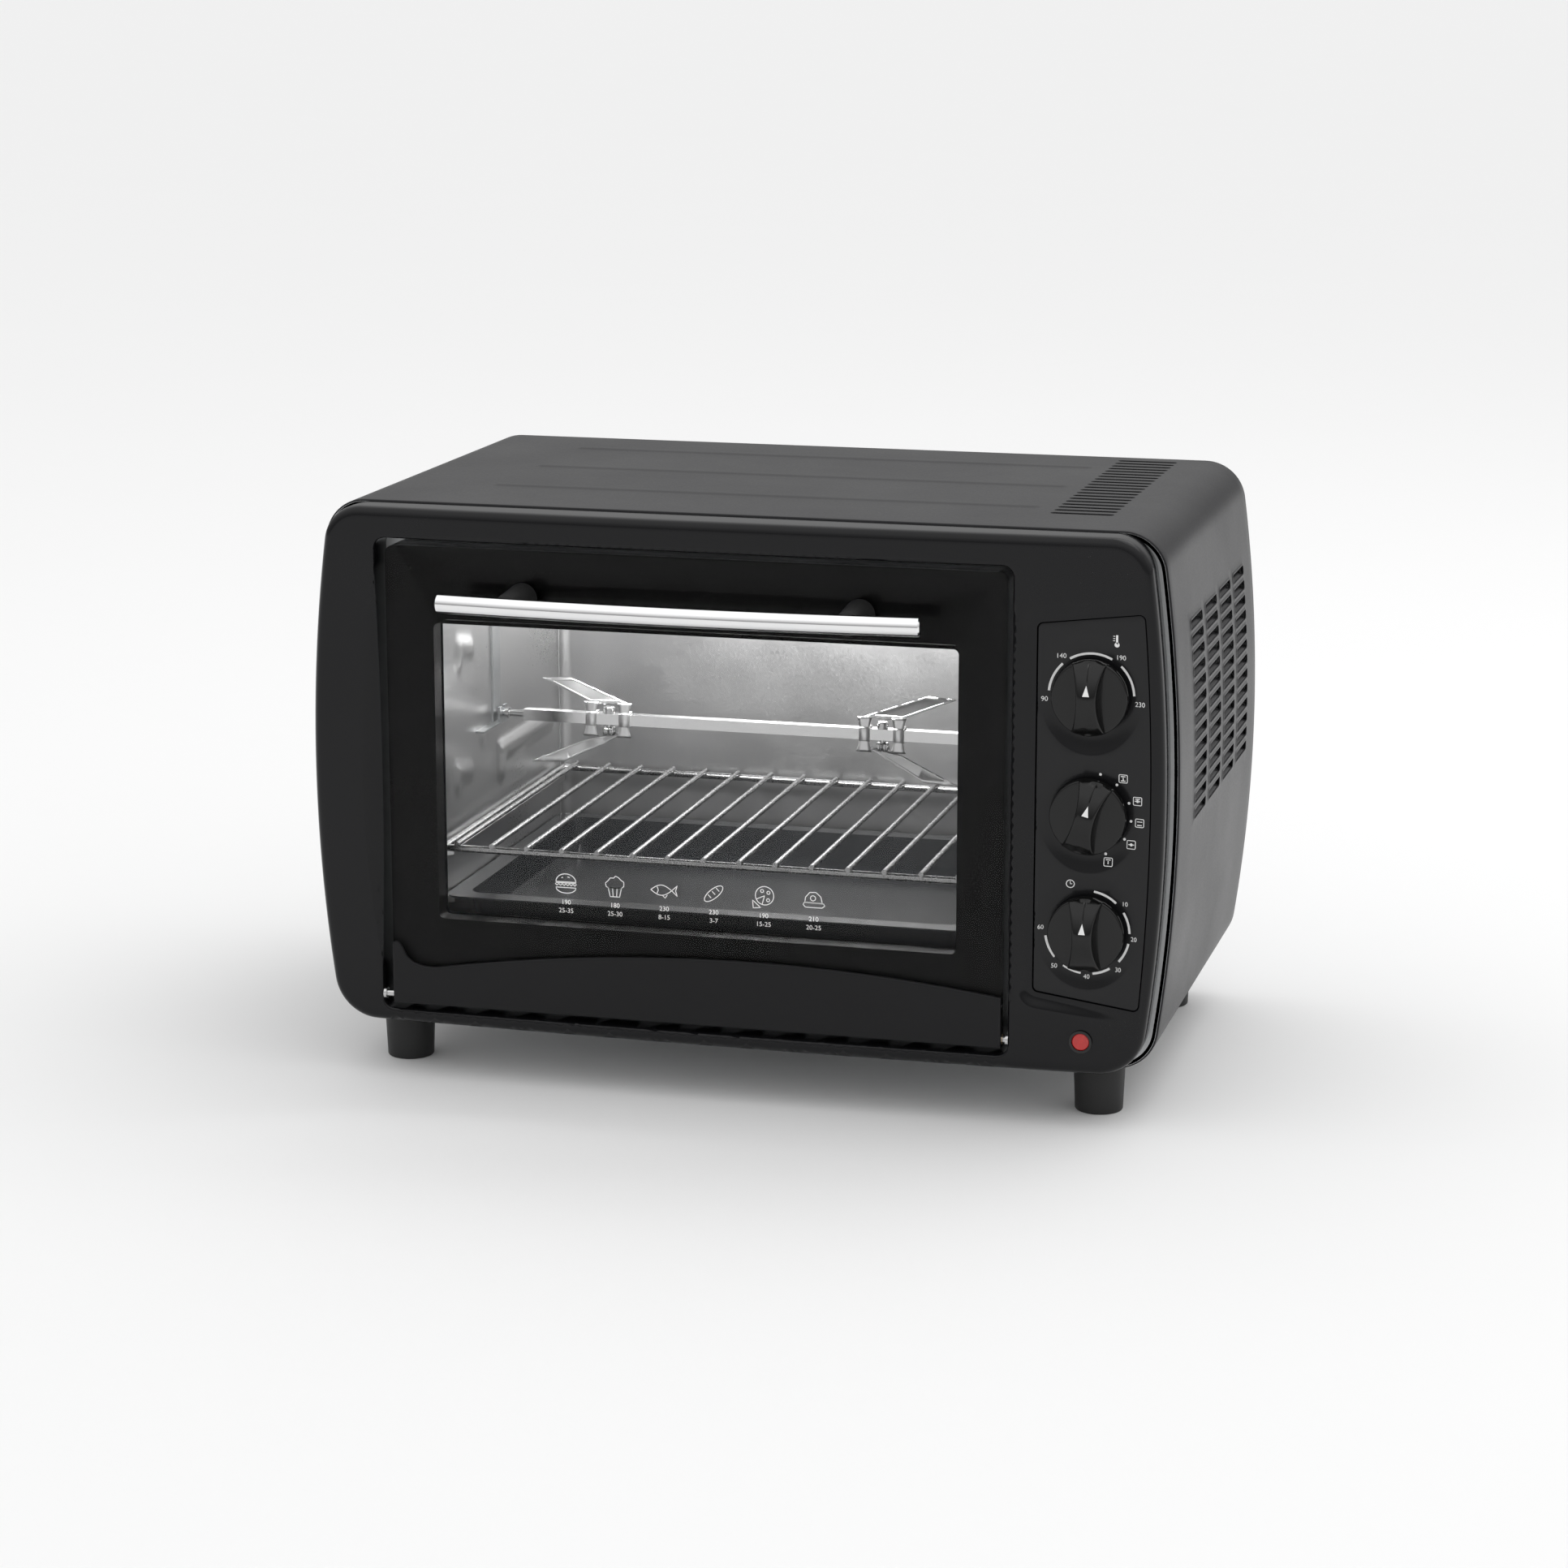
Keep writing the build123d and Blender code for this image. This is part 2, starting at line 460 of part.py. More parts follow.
def make_wall(label, side, drive_hole):
    """Side wall with two pressed runners, a pressed rib and the holes for the heater insulators."""
    inner = DOOR_X + side * CAVITY_HALF

    def inward(near, far):
        return sorted((inner - side * near, inner - side * far))

    with BuildPart() as wall:
        block(inward(-WALL_T, 0), (CAVITY_FRONT, CAVITY_BACK), (CAVITY_FLOOR - WALL_T, CAVITY_ROOF + WALL_T))
        for ledge in (RACK_LEDGE_Z, TRAY_LEDGE_Z):
            block(inward(0, LEDGE_W), RUNNER_YS, (ledge - LEDGE_T, ledge))
        block(inward(0, 2.5), (SPIT_Y + 5, SPIT_Y + 95), (150.0, 160.0))
        block(inward(0, 2.5), (SPIT_Y + 5, SPIT_Y + 15), (138.0, 160.0))
        for y in HEATER_YS:
            for z in (HEATER_HIGH, HEATER_LOW):
                rod_x(INSULATOR_R, inward(-3, 3), y, z, mode=Mode.SUBTRACT)
        if drive_hole:
            rod_x(drive_hole, inward(-3, 3), SPIT_Y, SPIT_Z, mode=Mode.SUBTRACT)
    save(wall.part, label)


make_wall("cavity_left_wall", -1, 0.0)
make_wall("cavity_right_wall", 1, 5.0)

with BuildPart() as cavity_back:
    block((CAVITY_L, CAVITY_R), (CAVITY_BACK - WALL_T, CAVITY_BACK), (CAVITY_FLOOR, CAVITY_ROOF))
save(cavity_back.part, "cavity_back")

for label, z in (("cavity_roof", CAVITY_ROOF), ("cavity_floor", CAVITY_FLOOR - WALL_T)):
    with BuildPart() as deck:
        block((CAVITY_L, CAVITY_R), (CAVITY_FRONT, CAVITY_BACK), (z, z + WALL_T))
    save(deck.part, label)

with BuildPart() as heater_insulators:
    for side in (-1, 1):
        inner = DOOR_X + side * CAVITY_HALF
        outside = sorted((inner + side * WALL_T, inner + side * (WALL_T + 6)))
        through = sorted((inner + side * WALL_T, inner - side * 1.5))
        whole = (min(outside[0], through[0]) - 1, max(outside[1], through[1]) + 1)
        for y in HEATER_YS:
            for z in (HEATER_HIGH, HEATER_LOW):
                rod_x(8.5, outside, y, z)
                rod_x(INSULATOR_R, through, y, z)
                rod_x(HEATER_R, whole, y, z, mode=Mode.SUBTRACT)
save(heater_insulators.part, "heater_insulators")

for level, z in (("upper", HEATER_HIGH), ("lower", HEATER_LOW)):
    for place, y in zip(("front", "rear"), HEATER_YS):
        with BuildPart() as heater:
            rod_x(HEATER_R, (CAVITY_L - 9, CAVITY_R + 9), y, z)
            rod_x(1.2, (CAVITY_L - 19, CAVITY_R + 19), y, z)
        save(heater.part, f"{level}_heater_{place}")

# ---- rack and tray ------------------------------------------------------------------------------------
RACK_Z = RACK_LEDGE_Z + FIT_GAP + RACK_WIRE_R
RACK_HALF = CAVITY_HALF - FIT_GAP - RACK_WIRE_R
RACK_YS = (FACE + 28.0, CAVITY_BACK - 8.0)
with BuildPart() as wire_rack:
    for side in (-1, 1):
        rod_y(RACK_WIRE_R, DOOR_X + side * RACK_HALF, RACK_YS, RACK_Z)
    for y in RACK_YS:
        rod_x(RACK_WIRE_R, (DOOR_X - RACK_HALF, DOOR_X + RACK_HALF), y, RACK_Z)
        with Locations([(DOOR_X + side * RACK_HALF, y, RACK_Z) for side in (-1, 1)]):
            Sphere(RACK_WIRE_R)
    for step in range(RACK_BARS):
        x = DOOR_X + (step - (RACK_BARS - 1) / 2) * RACK_PITCH
        rod_y(RACK_BAR_R, x, (RACK_YS[0] - 2, RACK_YS[1] + 2), RACK_Z + 2.6)
save(wire_rack.part, "wire_rack")

TRAY_RIM_Z = TRAY_LEDGE_Z + FIT_GAP
TRAY_HALF = CAVITY_HALF - FIT_GAP - 0.6
TRAY_YS = (FACE + 30.0, CAVITY_BACK - 6.0)
TRAY_LENGTH = TRAY_YS[1] - TRAY_YS[0]
with BuildPart() as baking_tray:
    tray_middle = (DOOR_X, (TRAY_YS[0] + TRAY_YS[1]) / 2)
    with BuildSketch(Plane.XY.offset(TRAY_RIM_Z)):
        with Locations(tray_middle):
            RectangleRounded(2 * TRAY_HALF, TRAY_LENGTH, TRAY_CORNER + TRAY_T)
    extrude(amount=TRAY_T)
    with BuildSketch(Plane.XY.offset(TRAY_RIM_Z)):
        with Locations(tray_middle):
            RectangleRounded(
                2 * (TRAY_HALF - TRAY_FLANGE), TRAY_LENGTH - 2 * TRAY_FLANGE, TRAY_CORNER + TRAY_T
            )
    extrude(amount=-TRAY_DEPTH, taper=12)
    with BuildSketch(Plane.XY.offset(TRAY_RIM_Z + TRAY_T)):
        with Locations(tray_middle):
            inset = TRAY_FLANGE + TRAY_T
            RectangleRounded(2 * (TRAY_HALF - inset), TRAY_LENGTH - 2 * inset, TRAY_CORNER)
    extrude(amount=-TRAY_DEPTH, taper=12, mode=Mode.SUBTRACT)
save(baking_tray.part, "baking_tray")

# ---- rotisserie ---------------------------------------------------------------------------------------
SOCKET_R, SOCKET_X = 7.0, (CAVITY_R - 14.0, CAVITY_R - 0.5)
DRIVE_R, DRIVE_END = 4.0, CAVITY_R + 9.0
SUPPORT_X = CAVITY_L + 4.5  # plane of the plate that the spit's pin rests in
SQUARE_START = SUPPORT_X + 14.0

with BuildPart() as spit_rod:
    block(
        (SQUARE_START, SOCKET_X[1] - 3),
        (SPIT_Y - SPIT_SQUARE / 2, SPIT_Y + SPIT_SQUARE / 2),
        (SPIT_Z - SPIT_SQUARE / 2, SPIT_Z + SPIT_SQUARE / 2),
    )
    rod_x(SPIT_PIN_R, (SUPPORT_X - 2.5, SQUARE_START), SPIT_Y, SPIT_Z)
    rod_x(3.2, (SUPPORT_X + 2.4, SUPPORT_X + 4.4), SPIT_Y, SPIT_Z)
save(spit_rod.part, "spit_rod")

with BuildPart() as drive_socket:
    rod_x(SOCKET_R, SOCKET_X, SPIT_Y, SPIT_Z)
    rod_x(DRIVE_R, (SOCKET_X[1], DRIVE_END), SPIT_Y, SPIT_Z)
    half = SPIT_SQUARE / 2 + 0.05
    square = ((SPIT_Y - half, SPIT_Y + half), (SPIT_Z - half, SPIT_Z + half))
    block((SOCKET_X[0] - 1, SOCKET_X[1] - 2.5), *square, mode=Mode.SUBTRACT)
save(drive_socket.part, "drive_socket")

MOTOR_X = (CAVITY_R + WALL_T, CAVITY_R + WALL_T + 18.0)
with BuildPart() as rotisserie_motor:
    block(MOTOR_X, (SPIT_Y - 24, SPIT_Y + 24), (SPIT_Z - 20, SPIT_Z + 20))
    fillet(rotisserie_motor.edges().filter_by(Axis.X), 6.0)
    rod_x(17.0, (MOTOR_X[1], MOTOR_X[1] + 12), SPIT_Y + 5, SPIT_Z)
    rod_x(DRIVE_R + RUNNING, (MOTOR_X[0] - 1, DRIVE_END + 1), SPIT_Y, SPIT_Z, mode=Mode.SUBTRACT)
save(rotisserie_motor.part, "rotisserie_motor")

STRAP_T, STRAP_YS, SHELF_YS = 1.2, (SPIT_Y - 6, SPIT_Y + 7), (SPIT_Y - 34, SPIT_Y - 6)
SHELF_ZS = (SPIT_Z - 5.7, SPIT_Z - 4.5)  # the shelf under the spit's pin
CRADLE_XS = (SUPPORT_X - 0.7, SUPPORT_X + 0.7)
CRADLE_CUT = (SUPPORT_X - 1, SUPPORT_X + 1)
with BuildPart() as spit_support:
    block((CAVITY_L, CAVITY_L + STRAP_T), STRAP_YS, (SHELF_ZS[1], CAVITY_ROOF - 4))
    block((CAVITY_L, CRADLE_XS[1]), STRAP_YS, SHELF_ZS)
    block((CAVITY_L, CRADLE_XS[1]), SHELF_YS, SHELF_ZS)
    block(CRADLE_XS, STRAP_YS, (SHELF_ZS[0], SPIT_Z + 4))
    notch = SPIT_PIN_R + 0.08
    rod_x(notch, CRADLE_CUT, SPIT_Y, SPIT_Z, mode=Mode.SUBTRACT)
    block(CRADLE_CUT, (SPIT_Y - notch, SPIT_Y + notch), (SPIT_Z, SPIT_Z + 5), mode=Mode.SUBTRACT)
save(spit_support.part, "spit_support")

FORK_LENGTH, FORK_LEFT_X, FORK_RIGHT_X = 50.0, -95.0, 48.0
BLADE_T, BLADE_W, HUB_HALF, HUB_T, HUB_BLOCK = 1.4, 13.0, 9.0, 12.0, 5.0
SCREW_R, SCREW_HEAD_R = 2.0, 4.2  # thumb screws under the rod that hold the forks


def make_fork(label, x, side):
    """Folded sheet fork: two pointed blades that spread from a hub; side is the way its blades point."""

    def out(distance):
        return x + side * distance

    with BuildPart() as fork:
        for up in (-1, 1):
            with BuildSketch(facing(SPIT_Y)):
                with BuildLine():
                    Polyline(
                        (out(0), SPIT_Z + up * HUB_HALF),
                        (out(FORK_LENGTH), SPIT_Z + up * FORK_SPREAD),
                        (out(FORK_LENGTH), SPIT_Z + up * (FORK_SPREAD + BLADE_T)),
                        (out(0), SPIT_Z + up * (HUB_HALF + BLADE_T)),
                        close=True,
                    )
                make_face()
            extrude(amount=BLADE_W / 2, both=True)
        with BuildSketch(Plane.XY.offset(SPIT_Z)):
            with BuildLine():
                Polyline(
                    (out(0), SPIT_Y - BLADE_W / 2),
                    (out(FORK_LENGTH * 0.55), SPIT_Y - BLADE_W / 2),
                    (out(FORK_LENGTH), SPIT_Y),
                    (out(FORK_LENGTH * 0.55), SPIT_Y + BLADE_W / 2),
                    (out(0), SPIT_Y + BLADE_W / 2),
                    close=True,
                )
            make_face()
        extrude(amount=40, both=True, mode=Mode.INTERSECT)
        hub = sorted((out(0), out(FORK_HUB)))
        for near, far in ((0, 1.4), (FORK_HUB - 1.4, FORK_HUB)):
            cheek = sorted((out(near), out(far)))
            cheek_zs = (SPIT_Z - HUB_HALF - 1, SPIT_Z + HUB_HALF + 1)
            block(cheek, (SPIT_Y - HUB_T / 2, SPIT_Y + HUB_T / 2), cheek_zs)
        block(hub, (SPIT_Y - 5.5, SPIT_Y + 5.5), (SPIT_Z - HUB_BLOCK, SPIT_Z + HUB_BLOCK))
        half = SPIT_SQUARE / 2
        rod_hole = ((hub[0] - 1, hub[1] + 1), (SPIT_Y - half, SPIT_Y + half), (SPIT_Z - half, SPIT_Z + half))
        block(*rod_hole, mode=Mode.SUBTRACT)
        rod_z(SCREW_R, out(FORK_HUB / 2), SPIT_Y, (SPIT_Z - HUB_BLOCK - 1, SPIT_Z), mode=Mode.SUBTRACT)
    save(fork.part, label)


make_fork("fork_left", FORK_LEFT_X, -1)
make_fork("fork_right", FORK_RIGHT_X, 1)

with BuildPart() as fork_screws:
    for x in (FORK_LEFT_X - FORK_HUB / 2, FORK_RIGHT_X + FORK_HUB / 2):
        rod_z(SCREW_R, x, SPIT_Y, (SPIT_Z - HUB_BLOCK - 1, SPIT_Z - SPIT_SQUARE / 2))
        rod_z(SCREW_HEAD_R, x, SPIT_Y, (SPIT_Z - HUB_BLOCK - 5, SPIT_Z - HUB_BLOCK))
save(fork_screws.part, "fork_screws")

# ---- door ---------------------------------------------------------------------------------------------
DOOR_MID, DOOR_H = (DOOR_BOTTOM + DOOR_TOP) / 2, DOOR_TOP - DOOR_BOTTOM
WINDOW_MID, WINDOW_H = (WINDOW_BOTTOM + WINDOW_TOP) / 2, WINDOW_TOP - WINDOW_BOTTOM
DOOR_L, DOOR_R = DOOR_X - DOOR_W / 2, DOOR_X + DOOR_W / 2
liner_screw_spots = [(DOOR_X + side * 164.5, z) for side in (-1, 1) for z in (66.0, WINDOW_MID, 290.0)]
post_spots = [(DOOR_X + side * POST_X, BAR_Z) for side in (-1, 1)]
boss_spans = ((DOOR_L, DOOR_L + BOSS_LENGTH), (DOOR_R - BOSS_LENGTH, DOOR_R))


def rounded(x, z, width, height, corner, mode=Mode.ADD):
    """Rounded rectangle on a facing plane."""
    with Locations((x, z)):
        RectangleRounded(width, height, corner, mode=mode)


with BuildPart() as door_frame:
    with BuildSketch(facing(LINER_Y)):
        rounded(DOOR_X, DOOR_MID, DOOR_W, DOOR_H, DOOR_CORNER)
        rounded(DOOR_X, WINDOW_MID, WINDOW_W, WINDOW_H, 3.0, mode=Mode.SUBTRACT)
    extrude(amount=LINER_Y - FRAME_FRONT)
    with BuildSketch(facing(LINER_Y)):
        rounded(DOOR_X, DOOR_MID, DOOR_W - 2 * FRAME_WALL, DOOR_H - 2 * FRAME_WALL, DOOR_CORNER - FRAME_WALL)
        inner_w, inner_h = WINDOW_W + 2 * FRAME_WALL, WINDOW_H + 2 * FRAME_WALL
        rounded(DOOR_X, WINDOW_MID, inner_w, inner_h, 5.0, mode=Mode.SUBTRACT)
    extrude(amount=LINER_Y - FRAME_FRONT - FRAME_WALL, mode=Mode.SUBTRACT)
    with BuildSketch(facing(LINER_Y)):
        rounded(DOOR_X, WINDOW_MID, WINDOW_W + 2 * FRAME_WALL, WINDOW_H + 2 * FRAME_WALL, 5.0)
    extrude(amount=INNER_GLASS_T, mode=Mode.SUBTRACT)
    for x, z in liner_screw_spots:
        rod_y(3.4, x, (FRAME_FRONT + 1, LINER_Y), z)
        rod_y(1.5, x, (FRAME_FRONT + 3, LINER_Y + 1), z, mode=Mode.SUBTRACT)
    for x, z in post_spots:
        rod_y(2.2, x, (FRAME_FRONT - 1, FRAME_FRONT + 3), z, mode=Mode.SUBTRACT)
    for span in boss_spans:
        block(span, (HINGE_Y - BOSS_HALF, HINGE_Y + BOSS_HALF), (HINGE_Z - BOSS_HALF, HINGE_Z + BOSS_HALF))
        rod_x(BUSH_R, (span[0] - 1, span[1] + 1), HINGE_Y, HINGE_Z, mode=Mode.SUBTRACT)
save(door_frame.part, "door_frame")

with BuildPart() as hinge_bushes:
    for span in boss_spans:
        rod_x(BUSH_R, (span[0] + 0.5, span[1]), HINGE_Y, HINGE_Z)
        rod_x(PIN_R + RUNNING, (span[0] - 1, span[1] + 1), HINGE_Y, HINGE_Z, mode=Mode.SUBTRACT)
save(hinge_bushes.part, "hinge_bushes")

with BuildPart() as hinge_pins:
    rod_x(PIN_R, (OPENING[0] - 3, boss_spans[0][1] - 1), HINGE_Y, HINGE_Z)
    rod_x(PIN_R, (boss_spans[1][0] + 1, OPENING[1] + 3), HINGE_Y, HINGE_Z)
    rod_x(3.2, (OPENING[0], OPENING[0] + 1.5), HINGE_Y, HINGE_Z)
    rod_x(3.2, (OPENING[1] - 1.5, OPENING[1]), HINGE_Y, HINGE_Z)
save(hinge_pins.part, "hinge_pins")

with BuildPart() as outer_glass:
    with BuildSketch(facing(FRAME_FRONT)):
        rounded(DOOR_X, (GLASS_BOTTOM + DOOR_TOP) / 2, DOOR_W, DOOR_TOP - GLASS_BOTTOM, DOOR_CORNER)
        with Locations(post_spots):
            Circle(3.0, mode=Mode.SUBTRACT)
    extrude(amount=GLASS_T)
    chamfer(outer_glass.faces().sort_by(Axis.Y)[0].edges().filter_by(GeomType.LINE), 0.5)
save(outer_glass.part, "outer_glass")

with BuildPart() as inner_glass:
    with BuildSketch(facing(LINER_Y)):
        lap = 2 * INNER_GLASS_LAP
        rounded(DOOR_X, WINDOW_MID, WINDOW_W + lap, WINDOW_H + lap, 6.0)
    extrude(amount=INNER_GLASS_T)
save(inner_glass.part, "inner_glass")

with BuildPart() as door_liner:
    with BuildSketch(facing(LINER_Y + SHEET)):
        rounded(DOOR_X, DOOR_MID, DOOR_W - 2, DOOR_H - 2, DOOR_CORNER - 1)
        rounded(DOOR_X, WINDOW_MID, WINDOW_W, WINDOW_H, 3.0, mode=Mode.SUBTRACT)
        with Locations(liner_screw_spots):
            Circle(1.6, mode=Mode.SUBTRACT)
    extrude(amount=SHEET)
save(door_liner.part, "door_liner")

with BuildPart() as liner_screws:
    for x, z in liner_screw_spots:
        rod_y(1.5, x, (FRAME_FRONT + 4, LINER_Y + SHEET), z)
        rod_y(2.7, x, (LINER_Y + SHEET, LINER_Y + SHEET + 0.9), z)
save(liner_screws.part, "liner_screws")

TRIM_SHOULDER = 79.0  # height of the trim's left tip
with BuildPart() as door_trim:
    with BuildSketch(facing(FRAME_FRONT)):
        with BuildLine():
            base = Line((DOOR_R, DOOR_BOTTOM), (DOOR_L, DOOR_BOTTOM))
            left = Line(base @ 1, (DOOR_L, TRIM_SHOULDER))
            tip_end, dip_end = (DOOR_L + 6.0, TRIM_SHOULDER - 3.0), (DOOR_L + 25.0, TRIM_SHOULDER - 13.7)
            tip = ThreePointArc(left @ 1, (DOOR_L + 3.0, TRIM_SHOULDER + 0.4), tip_end)
            dip = ThreePointArc(tip @ 1, (DOOR_L + 12.0, TRIM_SHOULDER - 12.0), dip_end)
            wave = ThreePointArc(dip @ 1, (5.0, 81.5), (DOOR_R, 71.7))
            Line(wave @ 1, base @ 0)
        make_face()
    extrude(amount=FRAME_FRONT - FACE)
    fillet(door_trim.faces().sort_by(Axis.Y)[0].edges().filter_by(GeomType.LINE), 0.8)
    block((DOOR_L - 1, DOOR_R + 1), (GLASS_FRONT, FRAME_FRONT), (GLASS_BOTTOM, 90), mode=Mode.SUBTRACT)
    for span in boss_spans:
        block(
            (span[0] - 1, span[1]),
            (HINGE_Y - BOSS_HALF, FRAME_FRONT),
            (DOOR_BOTTOM - 1, HINGE_Z + BOSS_HALF),
            mode=Mode.SUBTRACT,
        )
save(door_trim.part, "door_trim")

with BuildPart() as handle_bar:
    with BuildLine() as bar_path:
        ThreePointArc(
            (DOOR_X - BAR_HALF, BAR_END_Y, BAR_Z),
            (DOOR_X, BAR_END_Y - BAR_BOW, BAR_Z),
            (DOOR_X + BAR_HALF, BAR_END_Y, BAR_Z),
        )
    with BuildSketch(bar_path.line ^ 0):
        Circle(BAR_R)
    sweep()
    chamfer(handle_bar.faces().filter_by(GeomType.PLANE).edges(), 0.8)
save(handle_bar.part, "handle_bar")

with BuildPart() as handle_posts:
    POST_LENGTH = 29.0
    with Locations([(x, GLASS_FRONT - POST_LENGTH / 2, z) for x, z in post_spots]):
        Cone(POST_R_GLASS, POST_R_BAR, POST_LENGTH, rotation=(90, 0, 0))
    add(handle_bar.part, mode=Mode.SUBTRACT)
    block((-250, 250), (FACE - 60, FACE - 30), (BAR_Z - 20, BAR_Z + 20), mode=Mode.SUBTRACT)
    for x, z in post_spots:
        rod_y(2.0, x, (FACE - 15, GLASS_FRONT + 1), z, mode=Mode.SUBTRACT)
save(handle_posts.part, "handle_posts")

with BuildPart() as handle_screws:
    for x, z in post_spots:
        rod_y(2.0, x, (FACE - 14, FRAME_FRONT + FRAME_WALL), z)
        rod_y(4.2, x, (FRAME_FRONT + FRAME_WALL, FRAME_FRONT + FRAME_WALL + 2.5), z)
save(handle_screws.part, "handle_screws")
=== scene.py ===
"""Looks of the toaster oven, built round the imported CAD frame. Helpers take millimetres; Blender gets metres."""
import json
import math

import bpy
import numpy as np
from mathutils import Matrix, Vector
from mathutils.geometry import delaunay_2d_cdt


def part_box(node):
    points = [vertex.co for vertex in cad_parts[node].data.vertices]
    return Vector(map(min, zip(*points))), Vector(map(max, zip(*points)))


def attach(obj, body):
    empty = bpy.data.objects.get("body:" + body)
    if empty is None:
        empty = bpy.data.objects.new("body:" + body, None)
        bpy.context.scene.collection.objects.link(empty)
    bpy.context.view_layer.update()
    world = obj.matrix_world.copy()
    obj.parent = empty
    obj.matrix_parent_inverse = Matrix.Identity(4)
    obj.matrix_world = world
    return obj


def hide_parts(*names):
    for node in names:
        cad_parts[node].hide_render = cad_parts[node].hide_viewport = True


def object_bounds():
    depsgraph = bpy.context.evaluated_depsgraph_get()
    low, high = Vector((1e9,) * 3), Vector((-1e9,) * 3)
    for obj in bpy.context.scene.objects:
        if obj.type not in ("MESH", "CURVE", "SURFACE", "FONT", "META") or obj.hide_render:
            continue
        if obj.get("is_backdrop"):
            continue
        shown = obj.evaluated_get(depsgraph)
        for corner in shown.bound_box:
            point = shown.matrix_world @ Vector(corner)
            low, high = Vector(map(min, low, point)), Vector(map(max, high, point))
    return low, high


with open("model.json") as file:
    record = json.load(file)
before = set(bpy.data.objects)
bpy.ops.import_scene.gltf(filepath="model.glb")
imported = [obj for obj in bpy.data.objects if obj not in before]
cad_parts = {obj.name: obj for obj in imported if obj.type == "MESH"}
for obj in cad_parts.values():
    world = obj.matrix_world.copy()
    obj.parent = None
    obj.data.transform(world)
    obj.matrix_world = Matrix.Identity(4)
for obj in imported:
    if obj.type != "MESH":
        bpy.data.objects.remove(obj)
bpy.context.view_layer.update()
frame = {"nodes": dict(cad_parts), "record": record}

MM = 0.001
nodes = frame["nodes"]

# ---- places of the CAD nodes, in millimetres ----
def span(node):
    """Lowest and highest corner of a CAD node, in millimetres."""
    return [[round(c / MM, 2) for c in corner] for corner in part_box(node)]


def centre_of(node):
    return [(a + b) / 2 for a, b in zip(*span(node))]


bezel_span, door_span, plate_span = span("front_bezel"), span("door_frame"), span("control_plate")
back_span, spit_centre = span("cavity_back"), centre_of("spit_rod")
FACE, BEZEL_BACK, REAR = bezel_span[0][1], bezel_span[1][1], span("outer_wrapper")[1][1]
SHEET = 0.8
SIDE_R, SIDE_Z = 900.0, 178.0
WRAP = (245.5, 30.0, 325.0, 24.0, 24.0)  # half width, bottom, top, top corner, bottom corner
BEZEL = (240.5, 31.0, 324.0, 22.0, 26.0)
WRAP_LIP = 184.0
CROWN_R = 5760.0
DOOR_L, DOOR_R = door_span[0][0], door_span[1][0]
OPENING = (-201.0, 158.0, 39.0, 307.0)
PLATE_Y = plate_span[0][1]
CONTROL_X = centre_of("timer_shaft")[0]
CONTROL_Z = tuple(centre_of(node)[2] for node in ("temperature_shaft", "selector_shaft", "timer_shaft"))
LAMP = (centre_of("power_lamp_ring")[0], centre_of("power_lamp_ring")[2])
KNOB_R, KNOB_SKIRT, KNOB_TOP = 20.5, 4.5, 15.0
KNOB_BACK = span("timer_knob")[1][1]
SELECTOR_REST = 14.0


# ---- plane shapes ----
def arc_points(centre, radius, start, end, count):
    """Points on an arc between two angles in degrees."""
    angles = np.radians(np.linspace(start, end, count))
    return [(centre[0] + radius * math.cos(a), centre[1] + radius * math.sin(a)) for a in angles]


def rounded_box(centre, width, height, radius, per_corner=6, per_side=2):
    """Closed rectangle with round corners, anticlockwise."""
    points = []
    radius = min(radius, width / 2 - 1e-4, height / 2 - 1e-4)
    for sx, sy, start in ((1, 1, 0), (-1, 1, 90), (-1, -1, 180), (1, -1, 270)):
        corner = (centre[0] + sx * (width / 2 - radius), centre[1] + sy * (height / 2 - radius))
        points += arc_points(corner, radius, start, start + 90, per_corner)
    return subdivide(points, max(width, height) / per_side)


def subdivide(points, longest, closed=True):
    """The same line with no run longer than longest."""
    out = []
    count = len(points)
    for i in range(count if closed else count - 1):
        a, b = np.array(points[i], float), np.array(points[(i + 1) % count], float)
        parts = max(1, math.ceil(np.linalg.norm(b - a) / longest))
        out += [tuple(a + (b - a) * k / parts) for k in range(parts)]
    return out if closed else out + [tuple(points[-1])]


def half_casing(middle, bottom, top, top_corner, bottom_corner, run=8.0):
    """Right half of a casing outline, from the middle of the floor to the middle of the roof."""
    centre = (middle - SIDE_R, SIDE_Z)
    def corner(radius, level):
        across = math.sqrt((SIDE_R - radius) ** 2 - (level - SIDE_Z) ** 2)
        return centre[0] + across, level
    low, high = corner(bottom_corner, bottom + bottom_corner), corner(top_corner, top - top_corner)
    low_angle = math.degrees(math.atan2(low[1] - SIDE_Z, low[0] - centre[0]))
    high_angle = math.degrees(math.atan2(high[1] - SIDE_Z, high[0] - centre[0]))
    points = subdivide([(0.0, bottom), (low[0], bottom)], run, closed=False)
    points += arc_points(low, bottom_corner, -90, low_angle, 16)[1:]
    points += arc_points(centre, SIDE_R, low_angle, high_angle, 44)[1:]
    points += arc_points(high, top_corner, high_angle, 90, 16)[1:]
    points += subdivide([(high[0], top), (0.0, top)], run, closed=False)[1:]
    return points


def casing_outline(*size):
    """Closed casing outline, anticlockwise."""
    right = half_casing(*size)
    return right + [(-x, z) for x, z in right[-2:0:-1]]


